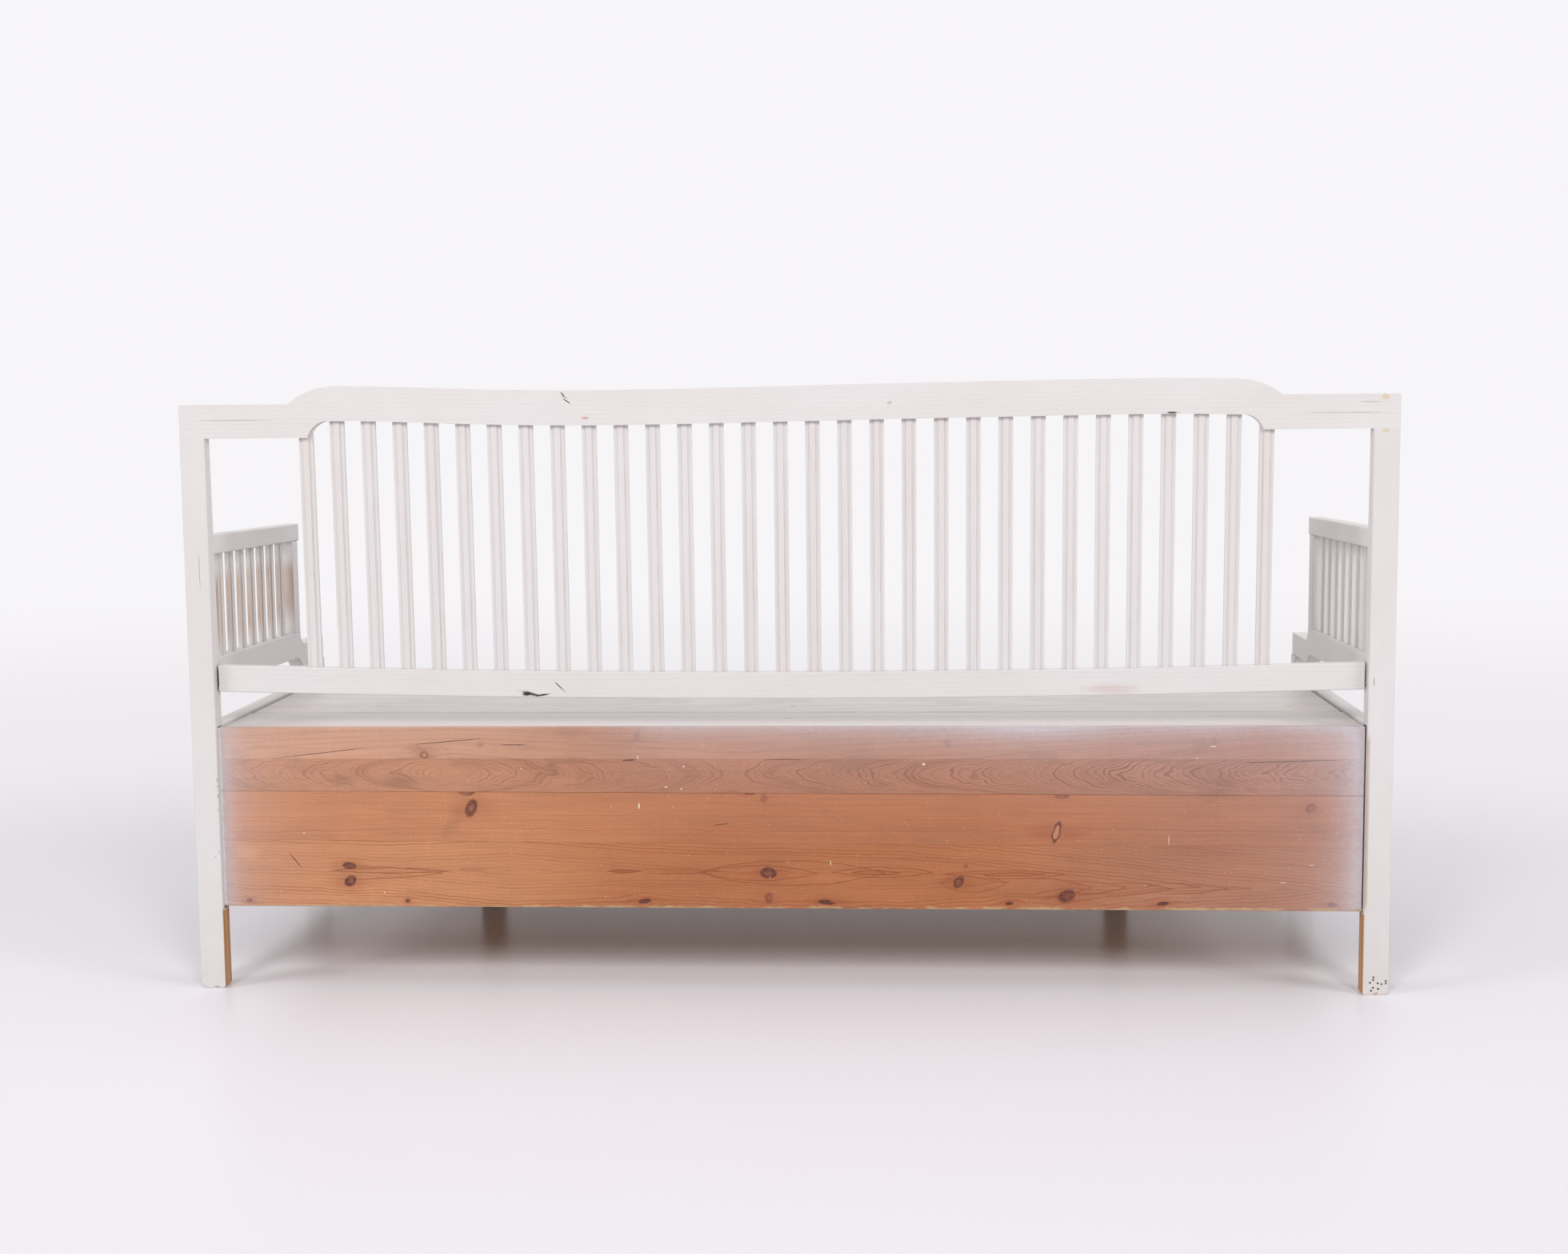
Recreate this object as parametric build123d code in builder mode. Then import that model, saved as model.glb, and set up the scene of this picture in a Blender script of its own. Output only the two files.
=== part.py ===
from build123d import *
import math
import os

os.makedirs("parts", exist_ok=True)

# ---------------------------------------------------------------------------
# Pull-out bench bed, pine, millimetres.
# +Z up, origin on the floor under the middle of the bench, the back faces +Y,
# the front faces -Y.  "left" and "right" are as seen from in front of it.
# Depths below are written as the distance forward of the rear face.
# ---------------------------------------------------------------------------

# overall
LENGTH = 1900.0
DEPTH = 630.0
HALF = LENGTH / 2


def fy(d):
    """Y of a plane that lies d forward of the bench's rear face."""
    return DEPTH / 2 - d


# rear posts
POST_W = 40.5            # along the bench
POST_D_FOOT = 32.0       # front to back, up to the seat
POST_D_TOP = 23.5        # front to back, under the crest
POST_TOP = 888.5         # shoulder that the crest rail sits on
POST_IN = HALF - POST_W  # inner face

# crest rail
CREST_T = 24.0
CREST_END_TOP = 941.5
CREST_TOP_POINTS = [(700, 969.0), (608, 966.8), (505, 962.8), (402, 959.7), (300, 958.4), (197, 958.8),
                    (61, 960.8), (-75, 963.1), (-210, 964.9), (-412, 967.1), (-560, 968.2), (-700, 966.8)]
CREST_LOW_POINTS = [(-708, 911.6), (-614, 913.6), (-480, 912.9), (-278, 910.9), (-75, 908.1), (61, 906.1),
                    (197, 904.5), (300, 903.9), (402, 905.3), (505, 908.2), (610, 912.4), (708, 914.4)]

# lower back rail, which has sagged in the middle
RAIL_BACK = 14.0
RAIL_T = 18.0
RAIL_END_Z = (484.0, 526.5)
RAIL_SAG = 13.0
RAIL_IN = 907.6

# back spindles: a flat slat with a low rib on both faces
SPINDLES = 31
SPINDLE_PITCH = 50.0
SLAT_W = 22.4            # full width
SLAT_EDGE_T = 7.0        # thickness of the two wings
SLAT_RIB_T = 11.2        # thickness over the ribs
SLAT_RIB_W = 8.6         # width of the rib's flat
TENON_W, TENON_T = 14.0, 7.0

# back panel boards: lower and upper edge at the left end and at the right end,
# then how far the lower and the upper arrises are eased
BOARD_T = 20.0
BOARD_BACK = 8.0         # set in from the posts' rear faces
BOARDS = [
    ("back_board_bottom", 132.6, 233.5, 134.6, 243.9, 0.9, 0.15),
    ("back_board_middle", 233.6, 316.4, 244.0, 323.4, 0.15, 0.4),
    ("back_board_upper", 316.7, 374.75, 323.7, 376.15, 0.4, 0.1),
    ("back_board_top", 374.8, 426.0, 376.2, 425.2, 0.1, 0.9),
]
GROOVE = 7.5             # depth of the groove in the posts
BOARD_END = POST_IN + 6.6

# sides and arms
ARM_IN = 910.0
ARM_T = 25.0
SIDE_T = 22.0
SIDE_Z = (128.0, 432.0)
ARM_TOP_Z = (704.0, 735.0)   # at the post
ARM_LOW_Z = (491.0, 537.0)   # at the post
ARM_SLOPE = 0.0195           # both rails fall a little towards the front
ARM_FRONT = 496.0
STILE_D = (453.0, 486.0)
HORN_Z = (465.0, 505.0)
HORN_END = 630.0
ARM_SLATS = 7
ARM_SLAT_FIRST = 82.0
ARM_SLAT_PITCH = 54.7
ARM_SLAT_W = 28.0            # wider and thinner than the back spindles
ARM_SLAT_EDGE_T = 6.0
ARM_SLAT_RIB_T = 9.4
LEG_IN = 908.0
LEG_D = (594.0, 629.4)
LEG_TOP = 465.0

# seat and lid
SEAT_TOP = 424.0
SEAT_T = 22.0
SEAT_LOW = SEAT_TOP - SEAT_T
REAR_BOARD_END = 178.0
LID_REAR = 180.0
LID_HALF = 905.5
LID_FRONT = 628.0
LID_JOINTS = (262.0, 446.0)
PIVOT_D = LID_REAR + SEAT_T / 2
PIVOT_Z = SEAT_TOP - SEAT_T / 2
PIN_R = 5.0
PIN_CLEAR = 0.3

# box bottom and pull-out
SLAT_BED_T = 18.0
SLAT_BED_W = 62.0
SLAT_BED_PITCH = 84.0
FIXED_LOW = 172.0        # underside of the fixed slats
PULL_LOW = 171.0         # underside of the pull-out's slats
BEARER_D = (532.0, 554.0)
BEARER_LOW = 124.0
RUNNER_TOP = 146.5
DRAWER_LOW = 147.0
DRAWER_SIDE = (885.0, 905.0)
DRAWER_SIDE_TOP = 252.0
DRAWER_REAR = (58.0, 80.0)
FRONT_D = (602.0, 624.0)
FRONT_Z = (100.0, 262.0, 400.0)
INNER_LEG_X = (563.0, 603.0)
INNER_LEG_D = (558.0, 602.0)
INNER_LEG_TOP = 350.0


def finish(builder, name):
    builder.part.label = name
    export_step(builder.part, f"parts/{name}.step")
    print(name, len(builder.part.solids()), round(builder.part.volume / 1000.0, 1))


def block(x, d, z, mode=Mode.ADD):
    """A rectangular block from two x, two depths and two heights."""
    x0, x1 = sorted(x)
    y0, y1 = sorted((fy(d[0]), fy(d[1])))
    z0, z1 = sorted(z)
    with Locations(((x0 + x1) / 2, (y0 + y1) / 2, (z0 + z1) / 2)):
        Box(x1 - x0, y1 - y0, z1 - z0, mode=mode)


def ease(builder, axis, radius):
    """Softens the long arrises of a planed board."""
    fillet(builder.edges().filter_by(axis), radius=radius)


def sym(s, a, b):
    """The span a..b on the side s (+1 right, -1 left)."""
    return (s * a, s * b)


SIDES = (("left", -1), ("right", 1))

# ---------------------------------------------------------------------------
# rear posts: straight rear face, front face tapering above the seat
# ---------------------------------------------------------------------------
rear_posts = {}
for side, s in SIDES:
    x0 = POST_IN if s > 0 else -HALF
    with BuildPart() as rear_post:
        with BuildSketch(Plane.YZ.offset(x0)):
            with BuildLine():
                Polyline((fy(0), 0), (fy(0), POST_TOP), (fy(POST_D_TOP), POST_TOP),
                         (fy(POST_D_FOOT), 430), (fy(POST_D_FOOT), 0), close=True)
            make_face()
        extrude(amount=POST_W)
        # worn foot, more so on the right
        foot = rear_post.edges().filter_by(Axis.Y).group_by(Axis.Z)[0].sort_by(Axis.X)
        fillet(foot[-1 if s > 0 else 0], radius=12.0 if s > 0 else 5.0)
        fillet(rear_post.edges().filter_by(Axis.Y).group_by(Axis.Z)[0].sort_by(Axis.X)[0 if s > 0 else -1], radius=6.0 if s > 0 else 3.5)
        upright = rear_post.edges().filter_by(
            lambda e: e.length > 300 and abs((e % 0.5).Z) > 0.99)
        fillet(upright, radius=2.2)
        # stub tenon that the crest rail drops on to
        block(sym(s, 920, 940), (7, 17), (POST_TOP - 5, POST_TOP + 24))
        # groove for the ends of the back boards
        block(sym(s, POST_IN - 5, POST_IN + GROOVE), (BOARD_BACK, BOARD_BACK + BOARD_T), (130, 428), mode=Mode.SUBTRACT)
        # mortise of the lower back rail
        block(sym(s, POST_IN - 5, POST_IN + 7.5), (18, 28), (491, 519), mode=Mode.SUBTRACT)
        # mortises of the arm rails, open to the front face
        block(sym(s, 918, 929), (12, 60), (709, 730), mode=Mode.SUBTRACT)
        block(sym(s, 919.5, 929.5), (14, 60), (497, 530), mode=Mode.SUBTRACT)
        # groove for the side board's tongue
        block(sym(s, 919, 927), (24, 60), (SIDE_Z[0] + 5, SIDE_Z[1]), mode=Mode.SUBTRACT)
    rear_posts[side] = rear_post
    finish(rear_post, f"rear_post_{side}")

# ---------------------------------------------------------------------------
# spindle axes: from the lower rail up to the crest, raked back a little
# ---------------------------------------------------------------------------
D_LOW, Z_LOW = RAIL_BACK + RAIL_T / 2, 505.0
D_HIGH, Z_HIGH = CREST_T / 2, 925.0
SPINDLE_AXIS = Vector(0, fy(D_HIGH) - fy(D_LOW), Z_HIGH - Z_LOW)
SPINDLE_LEN = SPINDLE_AXIS.length
spindle_planes = [
    Plane(origin=((i - (SPINDLES - 1) / 2) * SPINDLE_PITCH, fy(D_LOW), Z_LOW), x_dir=(1, 0, 0), z_dir=SPINDLE_AXIS)
    for i in range(SPINDLES)
]


def slat_section(width, edge_t, rib_t):
    """Flat slat with a raised rib along the middle of each face."""
    w, e, r, f = width / 2, edge_t / 2, rib_t / 2, SLAT_RIB_W / 2
    pts = [(w, -e), (w, e), (f + 0.9, e), (f, r), (-f, r), (-f - 0.9, e), (-w, e), (-w, -e),
           (-f - 0.9, -e), (-f, -r), (f, -r), (f + 0.9, -e)]
    Polygon(*pts, align=None)


# ---------------------------------------------------------------------------
# crest rail: one board, a long uneven wave with its ends stepped down
# ---------------------------------------------------------------------------
with BuildPart() as crest_rail:
    with BuildSketch(Plane.XZ.offset(-fy(0))):
        with BuildLine():
            ThreePointArc((CREST_LOW_POINTS[-1][0], CREST_LOW_POINTS[-1][1]), (736.5, 904.0), (745, POST_TOP))
            Polyline((745, POST_TOP), (HALF, POST_TOP), (HALF, CREST_END_TOP), (775, CREST_END_TOP))
            ThreePointArc((775, CREST_END_TOP), (742, 961.0), CREST_TOP_POINTS[0])
            Spline(*CREST_TOP_POINTS)
            ThreePointArc(CREST_TOP_POINTS[-1], (-742, 958.4), (-772, CREST_END_TOP))
            Polyline((-772, CREST_END_TOP), (-HALF, CREST_END_TOP), (-HALF, POST_TOP), (-743, POST_TOP))
            ThreePointArc((-743, POST_TOP), (-734.5, 903.0), CREST_LOW_POINTS[0])
            Spline(*CREST_LOW_POINTS)
        make_face()
    extrude(amount=CREST_T)
    ends = crest_rail.edges().filter_by(Axis.Z).group_by(Axis.X)
    fillet(ends[0] + ends[-1], radius=2.0)
    # sockets for the spindles and the posts' stub tenons
    for p in spindle_planes:
        with BuildSketch(p):
            Rectangle(TENON_W, TENON_T)
        extrude(amount=SPINDLE_LEN, mode=Mode.SUBTRACT)
    for post in rear_posts.values():
        add(post.part, mode=Mode.SUBTRACT)
finish(crest_rail, "crest_rail")

# ---------------------------------------------------------------------------
# lower back rail: sagged, with rounded arrises, tenoned into the posts
# ---------------------------------------------------------------------------
with BuildPart() as back_lower_rail:
    with BuildSketch(Plane.XZ.offset(-fy(RAIL_BACK))):
        with BuildLine():
            ThreePointArc((-RAIL_IN, RAIL_END_Z[0]), (0, RAIL_END_Z[0] - RAIL_SAG), (RAIL_IN, RAIL_END_Z[0]))
            Line((RAIL_IN, RAIL_END_Z[0]), (RAIL_IN, RAIL_END_Z[1]))
            ThreePointArc((RAIL_IN, RAIL_END_Z[1]), (0, RAIL_END_Z[1] - RAIL_SAG), (-RAIL_IN, RAIL_END_Z[1]))
            Line((-RAIL_IN, RAIL_END_Z[1]), (-RAIL_IN, RAIL_END_Z[0]))
        make_face()
    extrude(amount=RAIL_T)
    fillet(back_lower_rail.edges(), radius=2.2)
    for s in (-1, 1):
        block(sym(s, RAIL_IN - 12, POST_IN + 7.0), (18, 28), (491, 519))
    for p in spindle_planes:
        with BuildSketch(p):
            Rectangle(TENON_W, TENON_T)
        extrude(amount=60, mode=Mode.SUBTRACT)
finish(back_lower_rail, "back_lower_rail")

# ---------------------------------------------------------------------------
# back spindles, shouldered against both rails
# ---------------------------------------------------------------------------
with BuildPart() as back_spindles:
    for p in spindle_planes:
        with BuildSketch(p):
            slat_section(SLAT_W, SLAT_EDGE_T, SLAT_RIB_T)
        extrude(amount=SPINDLE_LEN)
    add(crest_rail.part, mode=Mode.SUBTRACT)
    add(back_lower_rail.part, mode=Mode.SUBTRACT)
finish(back_spindles, "back_spindles")

# ---------------------------------------------------------------------------
# back panel: four boards, none quite parallel, housed in the posts
# ---------------------------------------------------------------------------
for name, low_l, high_l, low_r, high_r, low_ease, high_ease in BOARDS:
    with BuildPart() as back_board:
        with BuildSketch(Plane.XZ.offset(-fy(BOARD_BACK + 0.2))):
            with BuildLine():
                Polyline((-BOARD_END, low_l), (BOARD_END, low_r), (BOARD_END, high_r), (-BOARD_END, high_l), close=True)
            make_face()
        extrude(amount=BOARD_T - 0.4)
        long_edges = back_board.edges().filter_by(lambda e: e.length > 1000).sort_by(Axis.Z)
        chamfer(long_edges[:2], length=low_ease)
        long_edges = back_board.edges().filter_by(lambda e: e.length > 1000).sort_by(Axis.Z)
        chamfer(long_edges[-2:], length=high_ease)
    finish(back_board, name)

# ---------------------------------------------------------------------------
# sides: front leg, side board, arm
# ---------------------------------------------------------------------------
with BuildPart() as lid_pivot_pins:
    for s in (-1, 1):
        with BuildSketch(Plane.YZ.offset(s * (LID_HALF - 22))):
            with Locations((fy(PIVOT_D), PIVOT_Z)):
                Circle(PIN_R)
        extrude(amount=s * 42)
    rims = lid_pivot_pins.edges().filter_by(GeomType.CIRCLE)
    chamfer(rims, length=0.8)
finish(lid_pivot_pins, "lid_pivot_pins")

def arm_z(z, d):
    """Height at depth d of an arm rail's edge that is z high at the post."""
    return z - ARM_SLOPE * max(d - POST_D_FOOT, 0.0)


for side, s in SIDES:
    with BuildPart() as front_leg:
        block(sym(s, LEG_IN, HALF), LEG_D, (0, LEG_TOP))
        ease(front_leg, Axis.Z, 2.4)
        foot = front_leg.faces().sort_by(Axis.Z)[0].edges()
        chamfer(foot, length=1.8)
        # stub tenon up into the arm's horn
        block(sym(s, 916.5, 928.5), (605, 619), (LEG_TOP - 3, LEG_TOP + 16))
        # groove for the side board's tongue
        block(sym(s, 919, 927), (560, LEG_D[0] + 8), (SIDE_Z[0] + 5, SIDE_Z[1]), mode=Mode.SUBTRACT)
    finish(front_leg, f"front_leg_{side}")

    with BuildPart() as side_board:
        block(sym(s, ARM_IN, ARM_IN + SIDE_T), (POST_D_FOOT, LEG_D[0]), SIDE_Z)
        top = side_board.faces().sort_by(Axis.Z)[-1].edges().filter_by(Axis.Y)
        fillet(top, radius=5)
        under = side_board.faces().sort_by(Axis.Z)[0].edges().filter_by(Axis.Y)
        fillet(under, radius=2)
        # tongues into the post and the leg
        block(sym(s, 919.2, 926.8), (24.5, POST_D_FOOT + 2), (SIDE_Z[0] + 6, SIDE_Z[1] - 1))
        block(sym(s, 919.2, 926.8), (LEG_D[0] - 2, LEG_D[0] + 7.5), (SIDE_Z[0] + 6, SIDE_Z[1] - 1))
        # socket for the lid's pivot pin
        with BuildSketch(Plane.YZ.offset(s * (ARM_IN - 1))):
            with Locations((fy(PIVOT_D), PIVOT_Z)):
                Circle(PIN_R + PIN_CLEAR)
        extrude(amount=s * 19, mode=Mode.SUBTRACT)
    finish(side_board, f"side_board_{side}")

    with BuildPart() as arm_lower_rail:
        with BuildSketch(Plane.YZ.offset(s * ARM_IN)):
            with BuildLine():
                Polyline((fy(14), ARM_LOW_Z[1]), (fy(14), ARM_LOW_Z[0]), (fy(32), ARM_LOW_Z[0]), (fy(461), arm_z(ARM_LOW_Z[0], 461)))
                ThreePointArc((fy(461), arm_z(ARM_LOW_Z[0], 461)), (fy(482), HORN_Z[0] + 10.5), (fy(493), HORN_Z[0]))
                Polyline((fy(493), HORN_Z[0]), (fy(HORN_END), HORN_Z[0]), (fy(HORN_END), HORN_Z[1]), (fy(510), HORN_Z[1]))
                ThreePointArc((fy(510), HORN_Z[1]), (fy(493.5), HORN_Z[1] + 8), (fy(STILE_D[1]), arm_z(ARM_LOW_Z[1], STILE_D[1])))
                Polyline((fy(STILE_D[1]), arm_z(ARM_LOW_Z[1], STILE_D[1])), (fy(32), ARM_LOW_Z[1]), (fy(14), ARM_LOW_Z[1]))
            make_face()
        extrude(amount=s * ARM_T)
        fillet(arm_lower_rail.faces().filter_by(Axis.X).edges(), radius=1.5)
        # sockets for the slats and the stile
        for k in range(ARM_SLATS):
            d = ARM_SLAT_FIRST + k * ARM_SLAT_PITCH
            z = arm_z(ARM_LOW_Z[1], d)
            block(sym(s, ARM_IN + 9, ARM_IN + 16), (d - 9, d + 9), (z - 12, z + 5), mode=Mode.SUBTRACT)
        block(sym(s, ARM_IN + 8, ARM_IN + 17), (459, 479), (ARM_LOW_Z[1] - 24, ARM_LOW_Z[1] + 5), mode=Mode.SUBTRACT)
        add(rear_posts[side].part, mode=Mode.SUBTRACT)
        add(front_leg.part, mode=Mode.SUBTRACT)
        # square shoulders: only the tenon goes past the post's front face
        block(sym(s, ARM_IN - 1, 919.5), (0, 30.8), (480, 540), mode=Mode.SUBTRACT)
        block(sym(s, 929.5, ARM_IN + ARM_T + 1), (0, 30.8), (480, 540), mode=Mode.SUBTRACT)
        block(sym(s, ARM_IN - 1, ARM_IN + ARM_T + 1), (0, 30.8), (480, 497), mode=Mode.SUBTRACT)
        block(sym(s, ARM_IN - 1, ARM_IN + ARM_T + 1), (0, 30.8), (530, 540), mode=Mode.SUBTRACT)
    finish(arm_lower_rail, f"arm_lower_rail_{side}")

    with BuildPart() as arm_top_rail:
        with BuildSketch(Plane.YZ.offset(s * ARM_IN)):
            with BuildLine():
                Polyline((fy(12), ARM_TOP_Z[0]), (fy(32), ARM_TOP_Z[0]), (fy(ARM_FRONT), arm_z(ARM_TOP_Z[0], ARM_FRONT)),
                         (fy(ARM_FRONT), arm_z(ARM_TOP_Z[1], ARM_FRONT)), (fy(32), ARM_TOP_Z[1]), (fy(12), ARM_TOP_Z[1]), close=True)
            make_face()
        extrude(amount=s * ARM_T)
        fillet(arm_top_rail.faces().filter_by(Axis.X).edges(), radius=2.4)
        for k in range(ARM_SLATS):
            d = ARM_SLAT_FIRST + k * ARM_SLAT_PITCH
            z = arm_z(ARM_TOP_Z[0], d)
            block(sym(s, ARM_IN + 9, ARM_IN + 16), (d - 9, d + 9), (z - 5, z + 12), mode=Mode.SUBTRACT)
        block(sym(s, ARM_IN + 8, ARM_IN + 17), (459, 479), (ARM_TOP_Z[0] - 14, ARM_TOP_Z[0] + 6), mode=Mode.SUBTRACT)
        add(rear_posts[side].part, mode=Mode.SUBTRACT)
        block(sym(s, ARM_IN - 1, 918), (0, 26.6), (700, 740), mode=Mode.SUBTRACT)
        block(sym(s, 929, ARM_IN + ARM_T + 1), (0, 26.6), (700, 740), mode=Mode.SUBTRACT)
        block(sym(s, ARM_IN - 1, ARM_IN + ARM_T + 1), (0, 26.6), (700, 709), mode=Mode.SUBTRACT)
        block(sym(s, ARM_IN - 1, ARM_IN + ARM_T + 1), (0, 26.6), (730, 740), mode=Mode.SUBTRACT)
    finish(arm_top_rail, f"arm_top_rail_{side}")

    with BuildPart() as arm_front_stile:
        with BuildSketch(Plane.YZ.offset(s * ARM_IN)):
            with BuildLine():
                Polyline((fy(STILE_D[0]), arm_z(ARM_LOW_Z[1], STILE_D[0])), (fy(STILE_D[1]), arm_z(ARM_LOW_Z[1], STILE_D[1])),
                         (fy(STILE_D[1]), arm_z(ARM_TOP_Z[0], STILE_D[1])), (fy(STILE_D[0]), arm_z(ARM_TOP_Z[0], STILE_D[0])), close=True)
            make_face()
        extrude(amount=s * (ARM_T - 0.5))
        ease(arm_front_stile, Axis.Z, 1.8)
        block(sym(s, ARM_IN + 8.1, ARM_IN + 16.9), (459.1, 478.9), (ARM_LOW_Z[1] - 23.5, ARM_TOP_Z[0] + 5.5))
    finish(arm_front_stile, f"arm_front_stile_{side}")

    with BuildPart() as arm_slats:
        for k in range(ARM_SLATS):
            d = ARM_SLAT_FIRST + k * ARM_SLAT_PITCH
            # the section turned so that its ribs face in and out
            p = Plane(origin=(s * (ARM_IN + ARM_T / 2), fy(d), ARM_LOW_Z[1] - 16), x_dir=(0, 1, 0), z_dir=(0, 0, 1))
            with BuildSketch(p):
                slat_section(ARM_SLAT_W, ARM_SLAT_EDGE_T, ARM_SLAT_RIB_T)
            extrude(amount=ARM_TOP_Z[0] - ARM_LOW_Z[1] + 20)
        # shoulders follow the fall of both rails
        with BuildSketch(Plane.YZ.offset(s * ARM_IN)):
            with BuildLine():
                Polyline((fy(32), ARM_LOW_Z[1]), (fy(520), arm_z(ARM_LOW_Z[1], 520)), (fy(520), 480), (fy(32), 480), close=True)
            make_face()
        extrude(amount=s * ARM_T, mode=Mode.SUBTRACT)
        with BuildSketch(Plane.YZ.offset(s * ARM_IN)):
            with BuildLine():
                Polyline((fy(32), ARM_TOP_Z[0]), (fy(520), arm_z(ARM_TOP_Z[0], 520)), (fy(520), 740), (fy(32), 740), close=True)
            make_face()
        extrude(amount=s * ARM_T, mode=Mode.SUBTRACT)
        for k in range(ARM_SLATS):
            d = ARM_SLAT_FIRST + k * ARM_SLAT_PITCH
            low, high = arm_z(ARM_LOW_Z[1], d), arm_z(ARM_TOP_Z[0], d)
            block(sym(s, ARM_IN + 9.1, ARM_IN + 15.9), (d - 8.9, d + 8.9), (low - 11.5, low + 2))
            block(sym(s, ARM_IN + 9.1, ARM_IN + 15.9), (d - 8.9, d + 8.9), (high - 2, high + 11.5))
    finish(arm_slats, f"arm_slats_{side}")

    # cleat that carries the lid's end, screwed to the inside of the side board
    with BuildPart() as lid_cleat:
        block(sym(s, ARM_IN - SIDE_T, ARM_IN), (50.5, 571.5), (380, SEAT_LOW))
        chamfer(lid_cleat.edges().filter_by(Axis.Y).sort_by(Axis.Z)[:2], length=3)
        # relieved under the lid's round rear edge
        block(sym(s, ARM_IN - SIDE_T - 5, ARM_IN + 5), (REAR_BOARD_END - 1, PIVOT_D + 16), (SEAT_LOW - 4, SEAT_LOW + 5), mode=Mode.SUBTRACT)
    finish(lid_cleat, f"lid_cleat_{side}")

    # runner that the pull-out's side slides on
    with BuildPart() as runner:
        block(sym(s, ARM_IN - 24, ARM_IN), (40, BEARER_D[0] - 0.5), (BEARER_LOW + 5, RUNNER_TOP))
        chamfer(runner.edges().filter_by(Axis.Y).sort_by(Axis.Z)[:2], length=3)
    finish(runner, f"drawer_runner_{side}")

# ---------------------------------------------------------------------------
# fixed seat parts
# ---------------------------------------------------------------------------
with BuildPart() as seat_front_rail:
    block((-ARM_IN, ARM_IN), (572, LEG_D[0] - 0.5), (352.5, SEAT_LOW))
    ease(seat_front_rail, Axis.X, 1.5)
finish(seat_front_rail, "seat_front_rail")

with BuildPart() as seat_rear_board:
    block((-POST_IN + 1.0, POST_IN - 1.0), (BOARD_BACK + BOARD_T + 0.3, REAR_BOARD_END), (SEAT_LOW, SEAT_TOP))
    front_top = seat_rear_board.edges().filter_by(Axis.X).sort_by(Axis.Y)[:2]
    fillet(front_top, radius=1.5)
finish(seat_rear_board, "seat_rear_board")

with BuildPart() as seat_rear_ledger:
    block((-ARM_IN + 22.5, ARM_IN - 22.5), (BOARD_BACK + BOARD_T, 50), (376, SEAT_LOW))
    chamfer(seat_rear_ledger.edges().filter_by(Axis.X).sort_by(Axis.Z)[:1], length=3)
finish(seat_rear_ledger, "seat_rear_ledger")

# ---------------------------------------------------------------------------
# lid: three boards on three battens, half-round rear edge, turning on two pins
# ---------------------------------------------------------------------------
batten_x = {"left": -640.0, "middle": 0.0, "right": 640.0}
lid_spans = {
    "lid_board_rear": (LID_REAR, LID_JOINTS[0] - 0.4),
    "lid_board_middle": (LID_JOINTS[0] + 0.4, LID_JOINTS[1] - 0.4),
    "lid_board_front": (LID_JOINTS[1] + 0.4, LID_FRONT),
}

# slotted countersunk wood screws, driven up through the battens
screw_spots = []
for x in batten_x.values():
    for d in (236.0, 282.0, 426.0, 466.0, 540.0):
        screw_spots.append((x + (12 if int(d) % 4 else -12), d))
with BuildPart() as lid_screws:
    for x, d in screw_spots:
        with BuildSketch(Plane.XY.offset(382.0)):
            with Locations((x, fy(d))):
                Circle(4.2)
        extrude(amount=3.2, taper=42)
        with BuildSketch(Plane.XY.offset(383.0)):
            with Locations((x, fy(d))):
                Circle(1.5)
        extrude(amount=32)
    for x, d in screw_spots:
        block((x - 5, x + 5), (d - 0.5, d + 0.5), (381, 383.2), mode=Mode.SUBTRACT)
finish(lid_screws, "lid_screws")

for name, (d0, d1) in lid_spans.items():
    with BuildPart() as lid_board:
        block((-LID_HALF, LID_HALF), (d0, d1), (SEAT_LOW, SEAT_TOP))
        if name == "lid_board_rear":
            # half-round edge that turns in front of the fixed board
            rear = lid_board.edges().filter_by(Axis.X).sort_by(Axis.Y)[-2:]
            fillet(rear, radius=SEAT_T / 2 - 0.01)
            other = lid_board.faces().sort_by(Axis.Y)[0].edges().filter_by(Axis.X)
            chamfer(other, length=0.9)
            add(lid_pivot_pins.part, mode=Mode.SUBTRACT)
        elif name == "lid_board_front":
            nose = lid_board.edges().filter_by(Axis.X).sort_by(Axis.Y)[:2]
            fillet(nose, radius=7)
            other = lid_board.faces().sort_by(Axis.Y)[-1].edges().filter_by(Axis.X)
            chamfer(other, length=0.9)
        else:
            chamfer(lid_board.edges().filter_by(Axis.X), length=0.9)
        add(lid_screws.part, mode=Mode.SUBTRACT)
    finish(lid_board, name)

for key, x in batten_x.items():
    with BuildPart() as lid_batten:
        block((x - 32, x + 32), (214, 566), (382, SEAT_LOW))
        low = lid_batten.faces().sort_by(Axis.Z)[0].edges()
        chamfer(low, length=3)
        add(lid_screws.part, mode=Mode.SUBTRACT)
    finish(lid_batten, f"lid_batten_{key}")

# ---------------------------------------------------------------------------
# box bottom, fixed half: slats from the back panel to the bearer
# ---------------------------------------------------------------------------
fixed_x = [(k - 4.5) * 2 * SLAT_BED_PITCH for k in range(10)]
pull_x = [(k - 5) * 2 * SLAT_BED_PITCH for k in range(11)]


# cut nails: a small round head just proud of the slat, and a shank
fixed_nail_spots = [(x - 11, fy(39)) for x in fixed_x] + [(x + 11, fy(543)) for x in fixed_x]
pull_nail_spots = [(x + 11, fy(69)) for x in pull_x] + [(x - 11, fy(591)) for x in pull_x]
NAIL_HEAD_R, NAIL_R, NAIL_LEN = 3.4, 1.3, 34.0

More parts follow.
